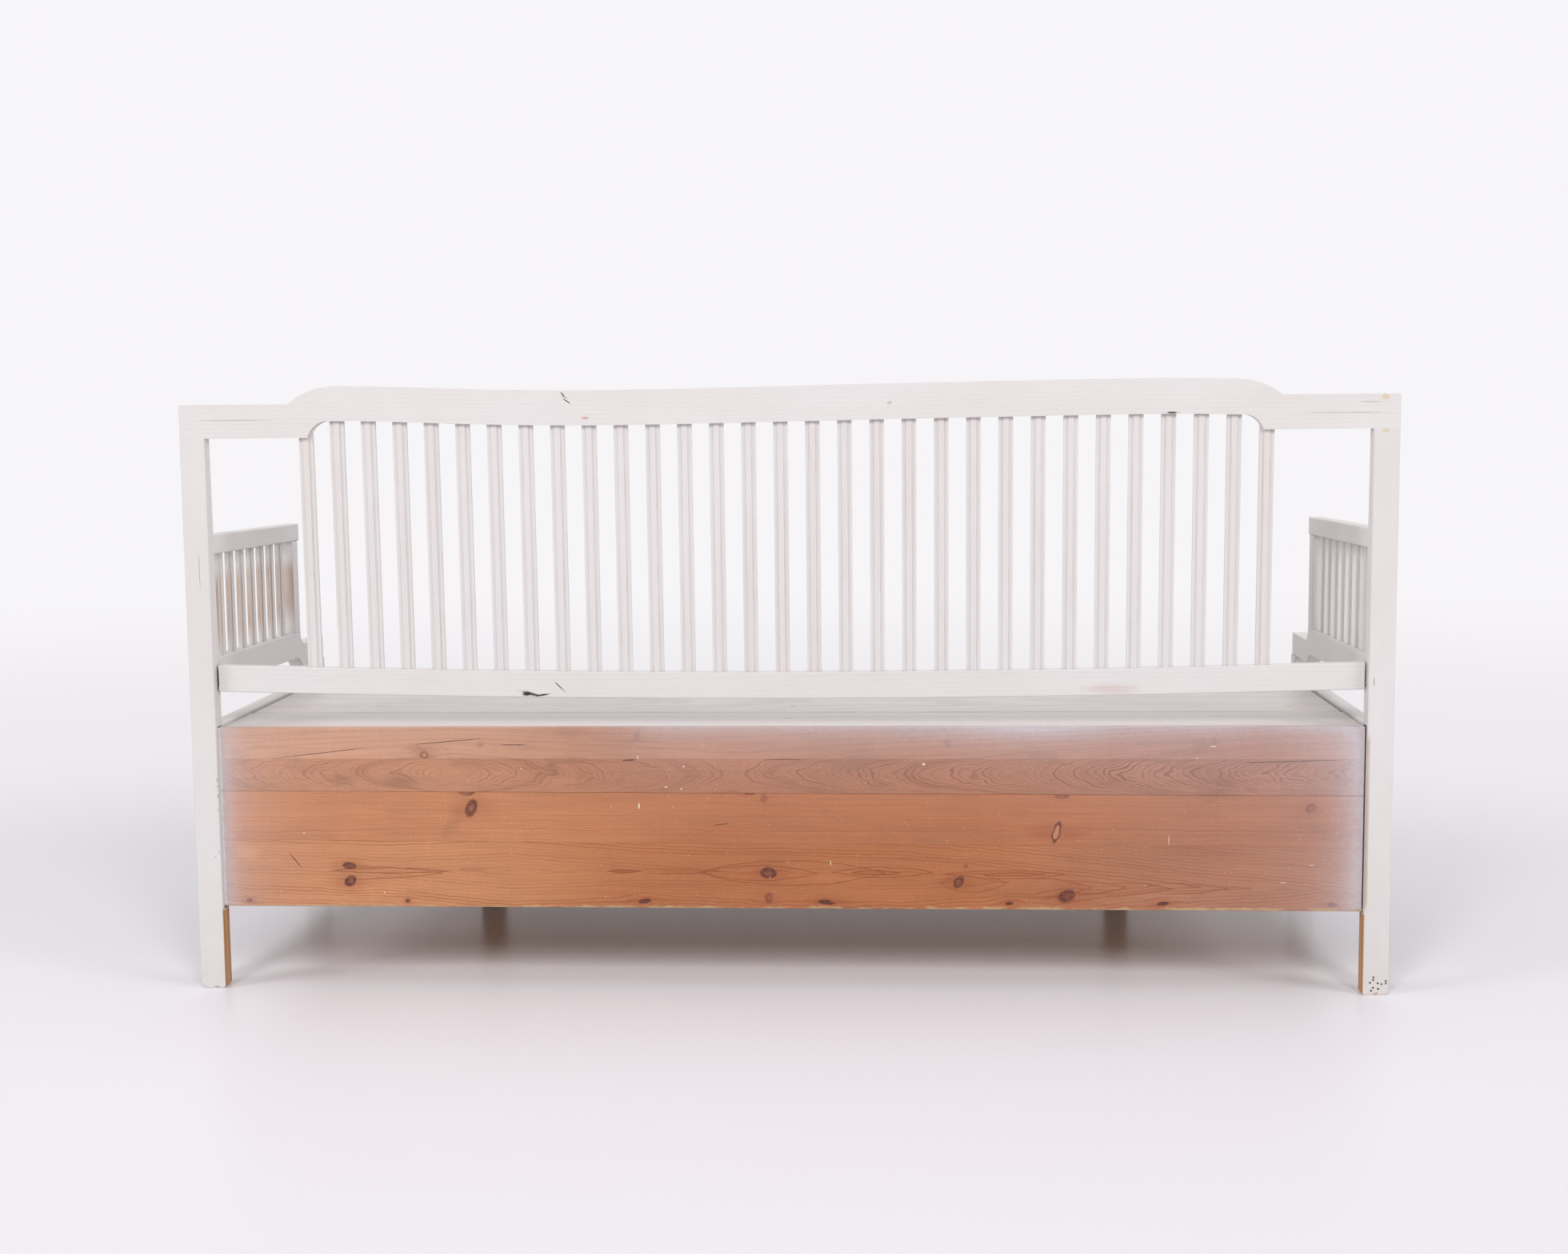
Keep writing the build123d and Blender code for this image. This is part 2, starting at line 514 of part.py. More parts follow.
with BuildPart() as fixed_slat_nails:
    with BuildSketch(Plane.XY.offset(FIXED_LOW + SLAT_BED_T)):
        with Locations(*fixed_nail_spots):
            Circle(NAIL_HEAD_R)
    extrude(amount=0.9)
    with BuildSketch(Plane.XY.offset(FIXED_LOW + SLAT_BED_T + 0.2)):
        with Locations(*fixed_nail_spots):
            Circle(NAIL_R)
    extrude(amount=-NAIL_LEN)
finish(fixed_slat_nails, "fixed_slat_nails")

with BuildPart() as fixed_slats:
    for x in fixed_x:
        block((x - SLAT_BED_W / 2, x + SLAT_BED_W / 2), (BOARD_BACK + BOARD_T + 0.5, BEARER_D[1]),
              (FIXED_LOW, FIXED_LOW + SLAT_BED_T))
    upper = fixed_slats.edges().filter_by(Axis.Y).group_by(Axis.Z)[-1]
    fillet(upper, radius=2)
    add(fixed_slat_nails.part, mode=Mode.SUBTRACT)
finish(fixed_slats, "fixed_slats")

with BuildPart() as rear_slat_ledger:
    block((-ARM_IN + 28, ARM_IN - 28), (BOARD_BACK + BOARD_T, 50), (146, FIXED_LOW))
    add(fixed_slat_nails.part, mode=Mode.SUBTRACT)
finish(rear_slat_ledger, "rear_slat_ledger")

with BuildPart() as slat_bearer:
    block((-ARM_IN, ARM_IN), BEARER_D, (BEARER_LOW, FIXED_LOW))
    # ends notched for the pull-out's sides, top notched for its slats
    for s in (-1, 1):
        block(sym(s, 872, ARM_IN + 5), (BEARER_D[0] - 5, BEARER_D[1] + 5), (RUNNER_TOP, FIXED_LOW + 5), mode=Mode.SUBTRACT)
    for x in pull_x:
        block((x - SLAT_BED_W / 2 - 4, x + SLAT_BED_W / 2 + 4), (BEARER_D[0] - 5, BEARER_D[1] + 5),
              (PULL_LOW - 1.5, FIXED_LOW + 5), mode=Mode.SUBTRACT)
    add(fixed_slat_nails.part, mode=Mode.SUBTRACT)
finish(slat_bearer, "slat_bearer")

# ---------------------------------------------------------------------------
# pull-out half: front, its own two legs, sides, rear rail and slats
# ---------------------------------------------------------------------------
# screws through the inner legs into the front, heads on the inside
leg_screw_spots = [(s * (INNER_LEG_X[0] + INNER_LEG_X[1]) / 2, z) for s in (-1, 1) for z in (124.0, 232.0, 288.0, 336.0)]
with BuildPart() as leg_screws:
    for x, z in leg_screw_spots:
        with BuildSketch(Plane.XZ.offset(-fy(INNER_LEG_D[0]))):
            with Locations((x, z)):
                Circle(4.6)
        extrude(amount=3.4, taper=42)
        with BuildSketch(Plane.XZ.offset(-fy(INNER_LEG_D[0] + 1))):
            with Locations((x, z)):
                Circle(1.7)
        extrude(amount=56)
    for x, z in leg_screw_spots:
        block((x - 6, x + 6), (INNER_LEG_D[0] - 1, INNER_LEG_D[0] + 1.2), (z - 0.55, z + 0.55), mode=Mode.SUBTRACT)
finish(leg_screws, "leg_screws")

front_half = LEG_IN - 3.0
with BuildPart() as front_board_lower:
    block((-front_half, front_half), FRONT_D, (FRONT_Z[0], FRONT_Z[1]))
    # tongue along the upper edge
    block((-front_half, front_half), (FRONT_D[0] + 7, FRONT_D[0] + 15), (FRONT_Z[1] - 1, FRONT_Z[1] + 7))
    low_front = front_board_lower.edges().filter_by(Axis.X).filter_by(
        lambda e: e.center().Z < FRONT_Z[0] + 1).sort_by(Axis.Y)[0]
    fillet(low_front, radius=6)
    # bead run along the face
    for z in (FRONT_Z[0] + 20, FRONT_Z[1] - 14):
        with BuildSketch(Plane.YZ.offset(-front_half)):
            with Locations((fy(FRONT_D[1]), z)):
                Circle(2.2)
        extrude(amount=2 * front_half, mode=Mode.SUBTRACT)
    add(leg_screws.part, mode=Mode.SUBTRACT)
finish(front_board_lower, "front_board_lower")

with BuildPart() as front_board_upper:
    block((-front_half, front_half), FRONT_D, (FRONT_Z[1] + 0.4, FRONT_Z[2]))
    block((-front_half - 1, front_half + 1), (FRONT_D[0] + 6.7, FRONT_D[0] + 15.3), (FRONT_Z[1], FRONT_Z[1] + 8), mode=Mode.SUBTRACT)
    vee = front_board_upper.edges().filter_by(Axis.X).filter_by(
        lambda e: e.center().Z < FRONT_Z[1] + 1).sort_by(Axis.Y)[0]
    chamfer(vee, length=2.4)
    for z in (FRONT_Z[2] - 20,):
        with BuildSketch(Plane.YZ.offset(-front_half)):
            with Locations((fy(FRONT_D[1]), z)):
                Circle(2.2)
        extrude(amount=2 * front_half, mode=Mode.SUBTRACT)
    add(leg_screws.part, mode=Mode.SUBTRACT)
finish(front_board_upper, "front_board_upper")

inner_legs = {}
for side, s in SIDES:
    with BuildPart() as inner_leg:
        block(sym(s, *INNER_LEG_X), INNER_LEG_D, (0, INNER_LEG_TOP))
        ease(inner_leg, Axis.Z, 1.8)
        foot = inner_leg.faces().sort_by(Axis.Z)[0].edges()
        chamfer(foot, length=1.4)
        top = inner_leg.faces().sort_by(Axis.Z)[-1].edges()
        chamfer(top, length=1.4)
        add(leg_screws.part, mode=Mode.SUBTRACT)
    inner_legs[side] = inner_leg
    finish(inner_leg, f"inner_leg_{side}")

    with BuildPart() as drawer_side:
        block(sym(s, *DRAWER_SIDE), (DRAWER_REAR[0], FRONT_D[0]), (DRAWER_LOW, DRAWER_SIDE_TOP))
        ease(drawer_side, Axis.Y, 2.0)
    finish(drawer_side, f"drawer_side_{side}")

with BuildPart() as pull_out_slat_nails:
    with BuildSketch(Plane.XY.offset(PULL_LOW + SLAT_BED_T)):
        with Locations(*pull_nail_spots):
            Circle(NAIL_HEAD_R)
    extrude(amount=0.9)
    with BuildSketch(Plane.XY.offset(PULL_LOW + SLAT_BED_T + 0.2)):
        with Locations(*pull_nail_spots):
            Circle(NAIL_R)
    extrude(amount=-NAIL_LEN)
finish(pull_out_slat_nails, "pull_out_slat_nails")

with BuildPart() as drawer_rear_rail:
    block((-DRAWER_SIDE[0], DRAWER_SIDE[0]), DRAWER_REAR, (DRAWER_LOW, PULL_LOW))
    chamfer(drawer_rear_rail.edges().filter_by(Axis.X).sort_by(Axis.Z)[:2], length=2)
    add(pull_out_slat_nails.part, mode=Mode.SUBTRACT)
finish(drawer_rear_rail, "drawer_rear_rail")

ledger_spans = [(-DRAWER_SIDE[0], -INNER_LEG_X[1] - 0.5), (-INNER_LEG_X[0] + 0.5, INNER_LEG_X[0] - 0.5),
                (INNER_LEG_X[1] + 0.5, DRAWER_SIDE[0])]
with BuildPart() as front_slat_ledger:
    for span in ledger_spans:
        block(span, (FRONT_D[0] - 20, FRONT_D[0]), (DRAWER_LOW, PULL_LOW))
    add(pull_out_slat_nails.part, mode=Mode.SUBTRACT)
finish(front_slat_ledger, "front_slat_ledger")

with BuildPart() as pull_out_slats:
    for x in pull_x:
        block((x - SLAT_BED_W / 2, x + SLAT_BED_W / 2), (DRAWER_REAR[0], FRONT_D[0] - 0.5),
              (PULL_LOW, PULL_LOW + SLAT_BED_T))
    upper = pull_out_slats.edges().filter_by(Axis.Y).group_by(Axis.Z)[-1]
    fillet(upper, radius=2)
    add(pull_out_slat_nails.part, mode=Mode.SUBTRACT)
finish(pull_out_slats, "pull_out_slats")
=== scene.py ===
import bpy
import math
from mathutils import Matrix, Vector

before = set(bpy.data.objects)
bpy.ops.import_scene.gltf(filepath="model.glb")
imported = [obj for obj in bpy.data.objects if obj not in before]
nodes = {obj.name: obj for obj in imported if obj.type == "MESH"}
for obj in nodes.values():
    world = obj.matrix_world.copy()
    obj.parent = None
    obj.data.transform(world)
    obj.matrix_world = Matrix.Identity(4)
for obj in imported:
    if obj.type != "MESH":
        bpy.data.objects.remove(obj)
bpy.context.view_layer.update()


# ---------------------------------------------------------------------------
# a small language for shader nodes
# ---------------------------------------------------------------------------
class Num:
    """A number in a shader; + - * / and powers make math nodes."""

    def __init__(self, g, sock):
        self.g, self.sock = g, sock

    def __add__(self, o): return self.g.math("ADD", self, o)
    def __radd__(self, o): return self.g.math("ADD", o, self)
    def __sub__(self, o): return self.g.math("SUBTRACT", self, o)
    def __rsub__(self, o): return self.g.math("SUBTRACT", o, self)
    def __mul__(self, o): return self.g.math("MULTIPLY", self, o)
    def __rmul__(self, o): return self.g.math("MULTIPLY", o, self)
    def __truediv__(self, o): return self.g.math("DIVIDE", self, o)
    def __neg__(self): return self.g.math("MULTIPLY", self, -1.0)
    def sqrt(self): return self.g.math("SQRT", self)
    def abs(self): return self.g.math("ABSOLUTE", self)
    def exp(self): return self.g.math("EXPONENT", self)
    def sin(self): return self.g.math("SINE", self)
    def fract(self): return self.g.math("FRACT", self)
    def floor(self): return self.g.math("FLOOR", self)
    def max(self, o): return self.g.math("MAXIMUM", self, o)
    def min(self, o): return self.g.math("MINIMUM", self, o)
    def pow(self, o): return self.g.math("POWER", self, o)
    def clamp(self): return self.g.math("ADD", self, 0.0, clamp=True)


class Graph:
    def __init__(self, name):
        self.mat = bpy.data.materials.new(name)
        self.mat.use_nodes = True
        self.t = self.mat.node_tree
        self.t.nodes.clear()
        self.out = self.t.nodes.new("ShaderNodeOutputMaterial")
        self.tc = self.t.nodes.new("ShaderNodeTexCoord")
        self.pos = self.tc.outputs["Object"]
        s = self.t.nodes.new("ShaderNodeSeparateXYZ")
        self.t.links.new(self.pos, s.inputs[0])
        self.x, self.y, self.z = (Num(self, s.outputs[i]) for i in range(3))
        s = self.t.nodes.new("ShaderNodeSeparateXYZ")
        self.t.links.new(self.tc.outputs["Normal"], s.inputs[0])
        self.nx, self.ny, self.nz = (Num(self, s.outputs[i]) for i in range(3))

    def put(self, sock, v):
        if isinstance(v, Num):
            v = v.sock
        if isinstance(v, bpy.types.NodeSocket):
            self.t.links.new(v, sock)
        else:
            sock.default_value = v

    def math(self, op, a, b=None, clamp=False):
        n = self.t.nodes.new("ShaderNodeMath")
        n.operation = op
        n.use_clamp = clamp
        self.put(n.inputs[0], a)
        if b is not None:
            self.put(n.inputs[1], b)
        return Num(self, n.outputs[0])

    def vec(self, x, y, z):
        n = self.t.nodes.new("ShaderNodeCombineXYZ")
        for i, v in enumerate((x, y, z)):
            self.put(n.inputs[i], v)
        return n.outputs[0]

    def step(self, lo, hi, v, a=0.0, b=1.0):
        """Smooth step from a at lo to b at hi."""
        n = self.t.nodes.new("ShaderNodeMapRange")
        n.interpolation_type = "SMOOTHSTEP"
        self.put(n.inputs["Value"], v)
        if lo <= hi:
            n.inputs["From Min"].default_value, n.inputs["From Max"].default_value = lo, hi
            n.inputs["To Min"].default_value, n.inputs["To Max"].default_value = a, b
        else:
            n.inputs["From Min"].default_value, n.inputs["From Max"].default_value = hi, lo
            n.inputs["To Min"].default_value, n.inputs["To Max"].default_value = b, a
        return Num(self, n.outputs[0])

    def lin(self, lo, hi, v, a=0.0, b=1.0):
        n = self.t.nodes.new("ShaderNodeMapRange")
        self.put(n.inputs["Value"], v)
        n.inputs["From Min"].default_value, n.inputs["From Max"].default_value = lo, hi
        n.inputs["To Min"].default_value, n.inputs["To Max"].default_value = a, b
        return Num(self, n.outputs[0])

    def noise(self, vec, scale, detail=2.0, rough=0.5, distort=0.0):
        n = self.t.nodes.new("ShaderNodeTexNoise")
        self.put(n.inputs["Vector"], vec)
        n.inputs["Scale"].default_value = scale
        n.inputs["Detail"].default_value = detail
        n.inputs["Roughness"].default_value = rough
        n.inputs["Distortion"].default_value = distort
        return Num(self, n.outputs[0])

    def white(self, v):
        n = self.t.nodes.new("ShaderNodeTexWhiteNoise")
        n.noise_dimensions = "1D"
        self.put(n.inputs["W"], v)
        return Num(self, n.outputs[0])

    def mix(self, f, a, b, blend="MIX"):
        n = self.t.nodes.new("ShaderNodeMix")
        n.data_type = "RGBA"
        n.blend_type = blend
        n.clamp_factor = True
        self.put(n.inputs[0], f)
        for sock, v in ((n.inputs[6], a), (n.inputs[7], b)):
            self.put(sock, v if isinstance(v, bpy.types.NodeSocket) else (*v[:3], 1.0))
        return n.outputs[2]

    def scale_color(self, col, k):
        """col times a number."""
        n = self.t.nodes.new("ShaderNodeVectorMath")
        n.operation = "SCALE"
        self.put(n.inputs[0], col)
        self.put(n.inputs[3], k)
        return n.outputs[0]

    def ell(self, a, b, spot, turn=0.0):
        """Distance from spot's centre in units of its half widths; spot is (ca, cb, ra, rb)."""
        ca, cb, ra, rb = spot
        da, db = a - ca, b - cb
        if turn:
            c, s = math.cos(turn), math.sin(turn)
            da, db = da * c + db * s, db * c - da * s
        return ((da / ra) * (da / ra) + (db / rb) * (db / rb)).sqrt()

    def finish(self, color, rough, bump=None, bump_dist=0.0005, spec=0.5, metallic=0.0, coat=0.0, sheen=0.0):
        if metallic == 0.0:
            color = self.scale_color(color, TONE)
        b = self.t.nodes.new("ShaderNodeBsdfPrincipled")
        self.put(b.inputs["Base Color"], color if isinstance(color, bpy.types.NodeSocket) else (*color[:3], 1.0))
        self.put(b.inputs["Roughness"], rough)
        b.inputs["Metallic"].default_value = metallic
        b.inputs["Specular IOR Level"].default_value = spec
        b.inputs["Coat Weight"].default_value = coat
        if bump is not None:
            n = self.t.nodes.new("ShaderNodeBump")
            n.inputs["Strength"].default_value = 1.0
            n.inputs["Distance"].default_value = bump_dist
            self.put(n.inputs["Height"], bump)
            self.t.links.new(n.outputs[0], b.inputs["Normal"])
        self.t.links.new(b.outputs[0], self.out.inputs[0])
        return self.mat


def lin_rgb(r, g, b):
    """Linear colour of an sRGB triple in 0..255."""
    return tuple(c / 12.92 if c <= 0.04045 else ((c + 0.055) / 1.055) ** 2.4 for c in (r / 255, g / 255, b / 255))


# ---------------------------------------------------------------------------
# wood
# ---------------------------------------------------------------------------
def rings(g, u, v, w, seed, spacing, depth, centre=0.0, wander=0.02, bumps=None):
    """Annual rings of a flat-sawn board: u along the grain, v across it, w into it.
    Gives (late wood 0..1, ring number)."""
    slow = g.noise(g.vec(u * 1.3 + seed, v * 0.6, w * 0.6), 1.0, 2.0)
    slow2 = g.noise(g.vec(u * 0.9 + seed * 1.7 + 9.1, v * 0.4, seed), 1.0, 1.0)
    fine = g.noise(g.vec(u * 7.0 + seed, v * 26.0, w * 26.0), 1.0, 3.0, 0.55)
    dv = v - centre + (slow - 0.5) * wander
    dd = w + depth + (slow2 - 0.5) * depth * 2.2
    r = (dv * dv + dd * dd).sqrt() + (fine - 0.5) * spacing * 1.1
    if bumps is not None:
        r = r + bumps
    n = r / spacing
    t = n.fract()
    late = g.step(0.30, 0.88, t) * g.step(1.0, 0.93, t)
    strength = g.white(n.floor() + seed)
    return late * (strength * 0.6 + 0.4), n


def pores(g, u, v, w, seed, k=1.0):
    """Fine streaks along the grain."""
    return g.noise(g.vec(u * 9.0 * k + seed, v * 420.0 * k, w * 420.0 * k), 1.0, 2.0, 0.6)


AXES = {"x": ("x", "z", "y"), "z": ("z", "x", "y"), "y": ("y", "z", "x"), "bed": ("y", "x", "z"), "seat": ("x", "y", "z")}


def along(g, axis):
    return [getattr(g, c) for c in AXES[axis]]


TONE = 0.797
PAINT = lin_rgb(231, 227, 227)
PAINT_WARM = lin_rgb(227, 222, 219)
TAN = lin_rgb(204, 184, 168)
BARE = lin_rgb(214, 170, 124)
DARK = (0.030, 0.021, 0.016)


def paint(name, axis, seed, marks=(), tan=None, bare=None, level=1.0, grain=0.5, late_gain=0.03, warm=None):
    """Old brushed paint over pine. marks: (kind, spot, turn) on the face across the grain axis."""
    g = Graph(name)
    u, v, w = along(g, axis)
    cloud = g.noise(g.vec(u * 2.2 + seed, v * 5.0, w * 5.0), 1.0, 3.0)
    mottle = g.noise(g.vec(u * 18.0 + seed, v * 36.0, w * 36.0), 1.0, 3.0, 0.6)
    brush = g.noise(g.vec(u * 5.0 + seed, v * 330.0, w * 330.0), 1.0, 2.0, 0.6)
    brush2 = g.noise(g.vec(u * 14.0 + seed * 2, v * 900.0, w * 900.0), 1.0, 1.0, 0.6)
    late, _ = rings(g, u, v, w, seed, 0.0062, 0.03 + 0.01 * math.sin(seed), centre=0.01 * math.cos(seed * 3))
    col = g.mix(g.step(0.35, 0.72, cloud), PAINT, PAINT_WARM)
    fine = g.noise(g.vec(u * 60.0 + seed, v * 150.0, w * 150.0), 1.0, 3.0, 0.6)
    shade = ((brush - 0.5) * 0.045 * grain + (brush2 - 0.5) * 0.025 * grain + (mottle - 0.5) * 0.06
             + (fine - 0.5) * 0.035 + 1.0 - late * late_gain)
    col = g.scale_color(col, shade * level)
    if warm:
        col = g.mix(1.0, col, warm, blend="MULTIPLY")
    height = brush * (0.5 * grain) + brush2 * (0.2 * grain) + late * (-8.0 * late_gain) + mottle * 0.3 + fine * 0.25
    rough = g.lin(0.2, 0.8, brush, 0.40, 0.56)
    # patchy tan wherever the bevel finds an edge: wood showing through at rubbed arrises, and the same darker tan in
    # inside corners
    bevel = g.t.nodes.new("ShaderNodeBevel")
    bevel.samples = 4
    bevel.inputs["Radius"].default_value = 0.0016
    geo = g.t.nodes.new("ShaderNodeNewGeometry")
    dot = g.t.nodes.new("ShaderNodeVectorMath")
    dot.operation = "DOT_PRODUCT"
    g.t.links.new(bevel.outputs[0], dot.inputs[0])
    g.t.links.new(geo.outputs["Normal"], dot.inputs[1])
    edge = g.step(0.985, 0.90, Num(g, dot.outputs["Value"]))
    rub = edge * g.step(0.50, 0.66, g.noise(g.vec(u * 26.0, v * 60.0, w * 60.0), 1.0, 3.0, 0.65))
    col = g.mix(rub * 0.55, col, lin_rgb(206, 182, 158))
    if tan:
        # faces the brush hardly reached
        m = tan(g) * g.lin(0.3, 0.7, mottle, 0.75, 1.0)
        col = g.mix(m, col, g.scale_color(g.mix(g.step(0.3, 0.7, brush), TAN, lin_rgb(192, 166, 148)), level))
    if bare:
        m = bare(g)
        wood = g.mix(late * 0.7 + brush * 0.25, BARE, lin_rgb(176, 122, 78))
        col = g.mix(m, col, wood)
        rough = rough + m * 0.15
    for kind, spot, turn in marks:
        if callable(spot):
            d = spot(g)
        else:
            wob = g.noise(g.vec(u * 190.0 + seed, v * 260.0, 0.0), 1.0, 3.0, 0.6) - 0.5
            d = g.ell(u, v, spot, turn) + wob * 1.1
        if kind == "crack":
            m = g.step(1.05, 0.80, d)
            col = g.mix(g.step(2.2, 0.9, d) * 0.30, col, lin_rgb(168, 150, 138))
            col = g.mix(m * 0.96, col, DARK)
            height = height - m * 3.0
        elif kind == "hair":
            m = g.step(1.0, 0.3, d)
            col = g.mix(m * 0.62, col, lin_rgb(120, 108, 98))
            height = height - m * 1.2
        elif kind == "bare":
            m = g.step(1.15, 0.7, d)
            col = g.mix(m * 0.75, col, lin_rgb(203, 152, 128))
        elif kind == "blush":
            m = g.step(1.2, 0.2, d) * g.lin(0.35, 0.75, brush, 0.5, 1.0)
            col = g.mix(m * 0.45, col, lin_rgb(196, 158, 146))
        elif kind == "stain":
            m = g.step(1.2, 0.5, d)
            col = g.mix(m * 0.6, col, lin_rgb(214, 196, 140))
        elif kind == "knot":
            m = g.step(1.1, 0.6, d)
            col = g.mix(m * 0.35, col, lin_rgb(150, 130, 116))
            height = height - m * 0.6
        elif kind == "white":
            m = g.step(1.1, 0.6, d)
            col = g.mix(m * 0.9, col, lin_rgb(246, 243, 240))
            height = height + m * 1.0
    return g.finish(col, rough, height, 0.00035, spec=0.42)


def bare_wood(name, axis, seed, tone=1.0, light=(214, 168, 122), dark=(170, 112, 68), per=None, spacing=0.0048, painted=None):
    """Unpainted yellowed pine with small knots."""
    g = Graph(name)
    u, v, w = along(g, axis)
    if per is not None:
        pitch, src = per
        cell = (getattr(g, src) / pitch + 0.5).floor()
        k = g.white(cell + seed)
        u = u + k * 7.0
        v0 = v
        v = v + (k - 0.5) * 0.12
    # knots: sparse round spots in stretched space
    vor = g.t.nodes.new("ShaderNodeTexVoronoi")
    vor.feature = "F1"
    g.put(vor.inputs["Vector"], g.vec(u * 2.6 + seed, v * 7.5, 0.37 + seed))
    vor.inputs["Scale"].default_value = 1.0
    d = Num(g, vor.outputs["Distance"])
    knot = g.step(0.075, 0.055, d)
    halo = g.step(0.26, 0.03, d)
    late, _ = rings(g, u, v, w, seed, spacing, 0.035, centre=0.012, bumps=halo * 0.014)
    fine = pores(g, u, v, w, seed)
    cloud = g.noise(g.vec(u * 3.0 + seed, v * 12.0, w * 12.0), 1.0, 3.0)
    L, D = lin_rgb(*light), lin_rgb(*dark)
    col = g.mix(late * 0.75, L, D)
    col = g.scale_color(col, ((fine - 0.5) * 0.22 + (cloud - 0.5) * 0.30 + 1.0) * tone)
    col = g.mix(halo * 0.35, col, g.scale_color(lin_rgb_node(g, (150, 92, 54)), tone))
    col = g.mix(knot * 0.85, col, g.scale_color(lin_rgb_node(g, (86, 44, 26)), tone))
    rough = g.lin(0.3, 0.7, fine, 0.55, 0.72)
    height = fine * 0.5 - late * 0.6
    if painted:
        m = painted(g)
        brush = g.noise(g.vec(g.z * 5.0 + seed, g.x * 330.0, g.y * 330.0), 1.0, 2.0, 0.6)
        col = g.mix(m, col, g.scale_color(lin_rgb_node(g, (229, 224, 222)), (brush - 0.5) * 0.06 + 1.0))
    return g.finish(col, rough, height, 0.0003, spec=0.3)


def lin_rgb_node(g, rgb):
    """A colour as a socket, so that it can be scaled."""
    c = lin_rgb(*rgb)
    return g.vec(*c)


# knots of the back boards: x, z, half length, half width, turn, kind, strength
KNOTS = {
    "back_board_top": [
        (0.5754, 0.3815, 0.0060, 0.0056, 0.0, "ring", 0.75), (0.4840, 0.3987, 0.0070, 0.0060, 1.9, "smudge", 0.55),
        (0.2326, 0.4145, 0.0110, 0.0060, 1.8, "smudge", 0.50), (-0.2590, 0.4003, 0.0075, 0.0055, 1.8, "smudge", 0.55),
        (-0.6747, 0.4039, 0.0075, 0.0055, 1.8, "smudge", 0.60)],
    "back_board_upper": [
        (0.6150, 0.3400, 0.0300, 0.0110, 0.1, "grime", 0.60), (0.7100, 0.3420, 0.0260, 0.0100, 0.1, "grime", 0.50), (0.3700, 0.3660, 0.0200, 0.0060, 1.0, "grime", 0.30),
        (-0.4300, 0.3700, 0.0160, 0.0050, 0.0, "grime", 0.30)],
    "back_board_middle": [
        (0.5008, 0.2960, 0.0140, 0.0085, 1.95, "dark", 0.80), (0.5072, 0.3208, 0.0115, 0.0042, 0.0, "dark", 0.60),
        (0.0319, 0.3125, 0.0055, 0.0045, 1.6, "dark", 0.40), (0.0540, 0.3195, 0.0070, 0.0020, 0.0, "dark", 0.60),
        (-0.4390, 0.3160, 0.0105, 0.0040, 0.0, "dark", 0.45), (-0.4304, 0.2568, 0.0165, 0.0055, 1.86, "slit", 0.90),
        (-0.8258, 0.2971, 0.0085, 0.0065, 2.4, "dark", 0.45), (0.5350, 0.2650, 0.0420, 0.0110, 2.2, "grime", 0.30)],
    "back_board_bottom": [
        (0.8680, 0.2230, 0.0180, 0.0110, 0.2, "glow", 0.80), (0.7020, 0.2017, 0.0108, 0.0056, 0.1, "dark", 0.85), (0.7015, 0.1763, 0.0100, 0.0075, 2.6, "dark", 0.90),
        (0.8678, 0.1437, 0.0045, 0.0028, 0.0, "dark", 0.90), (0.6087, 0.1440, 0.0034, 0.0028, 0.0, "dark", 0.95),
        (0.0250, 0.1914, 0.0124, 0.0085, 0.0, "dark", 0.95), (0.0255, 0.1501, 0.0085, 0.0062, 1.7, "dark", 0.45),
        (0.2246, 0.1449, 0.0110, 0.0036, 3.05, "pit", 0.95), (-0.0663, 0.1439, 0.0120, 0.0044, 0.1, "pit", 1.0),
        (-0.2765, 0.1776, 0.0105, 0.0068, 2.25, "dark", 0.75), (-0.4473, 0.1555, 0.0130, 0.0095, 2.75, "dark", 0.80),
        (-0.3557, 0.1431, 0.0072, 0.0034, 3.0, "pit", 1.0), (-0.5984, 0.1438, 0.0100, 0.0040, 3.0, "pit", 1.0),
        (-0.8627, 0.1431, 0.0085, 0.0038, 0.2, "pit", 0.75), (-0.2879, 0.2035, 0.0034, 0.0026, 0.0, "dark", 0.50)],
}
# cracks and open bits of joint: x, z, half length, half width, turn
CRACKS = {
    "back_board_top": [(0.538, 0.4036, 0.055, 0.0006, -0.087), (0.745, 0.3850, 0.080, 0.0005, -0.11), (0.43, 0.3985, 0.020, 0.0006, 0.0)],
    "back_board_upper": [(0.2450, 0.3737, 0.0105, 0.0012, -0.05), (0.0, 0.3746, 0.030, 0.0006, 0.0), (-0.80, 0.3715, 0.075, 0.0006, -0.03)],
    "back_board_middle": [(0.10, 0.2700, 0.012, 0.0006, -0.1)],
    "back_board_bottom": [(0.7900, 0.2100, 0.016, 0.0007, 0.9)],
}
FLECKS = [(0.7746, 0.2547, 0.0014, 0.0014), (0.2313, 0.2995, 0.0015, 0.0046), (0.1876, 0.3303, 0.0022, 0.0013),
          (0.1630, 0.3271, 0.0014, 0.0018), (0.1586, 0.3635, 0.0015, 0.0017), (0.2318, 0.3782, 0.0011, 0.0034),
          (0.4191, 0.3596, 0.0010, 0.0012), (0.6464, 0.1575, 0.0010, 0.0018), (-0.0737, 0.2076, 0.0008, 0.0040),
          (-0.2216, 0.3671, 0.0024, 0.0020), (-0.6733, 0.3950, 0.0050, 0.0010), (-0.6486, 0.3766, 0.0018, 0.0009),
          (-0.6064, 0.2457, 0.0006, 0.0080), (-0.7851, 0.1781, 0.0045, 0.0006), (-0.8282, 0.2065, 0.0045, 0.0006)]


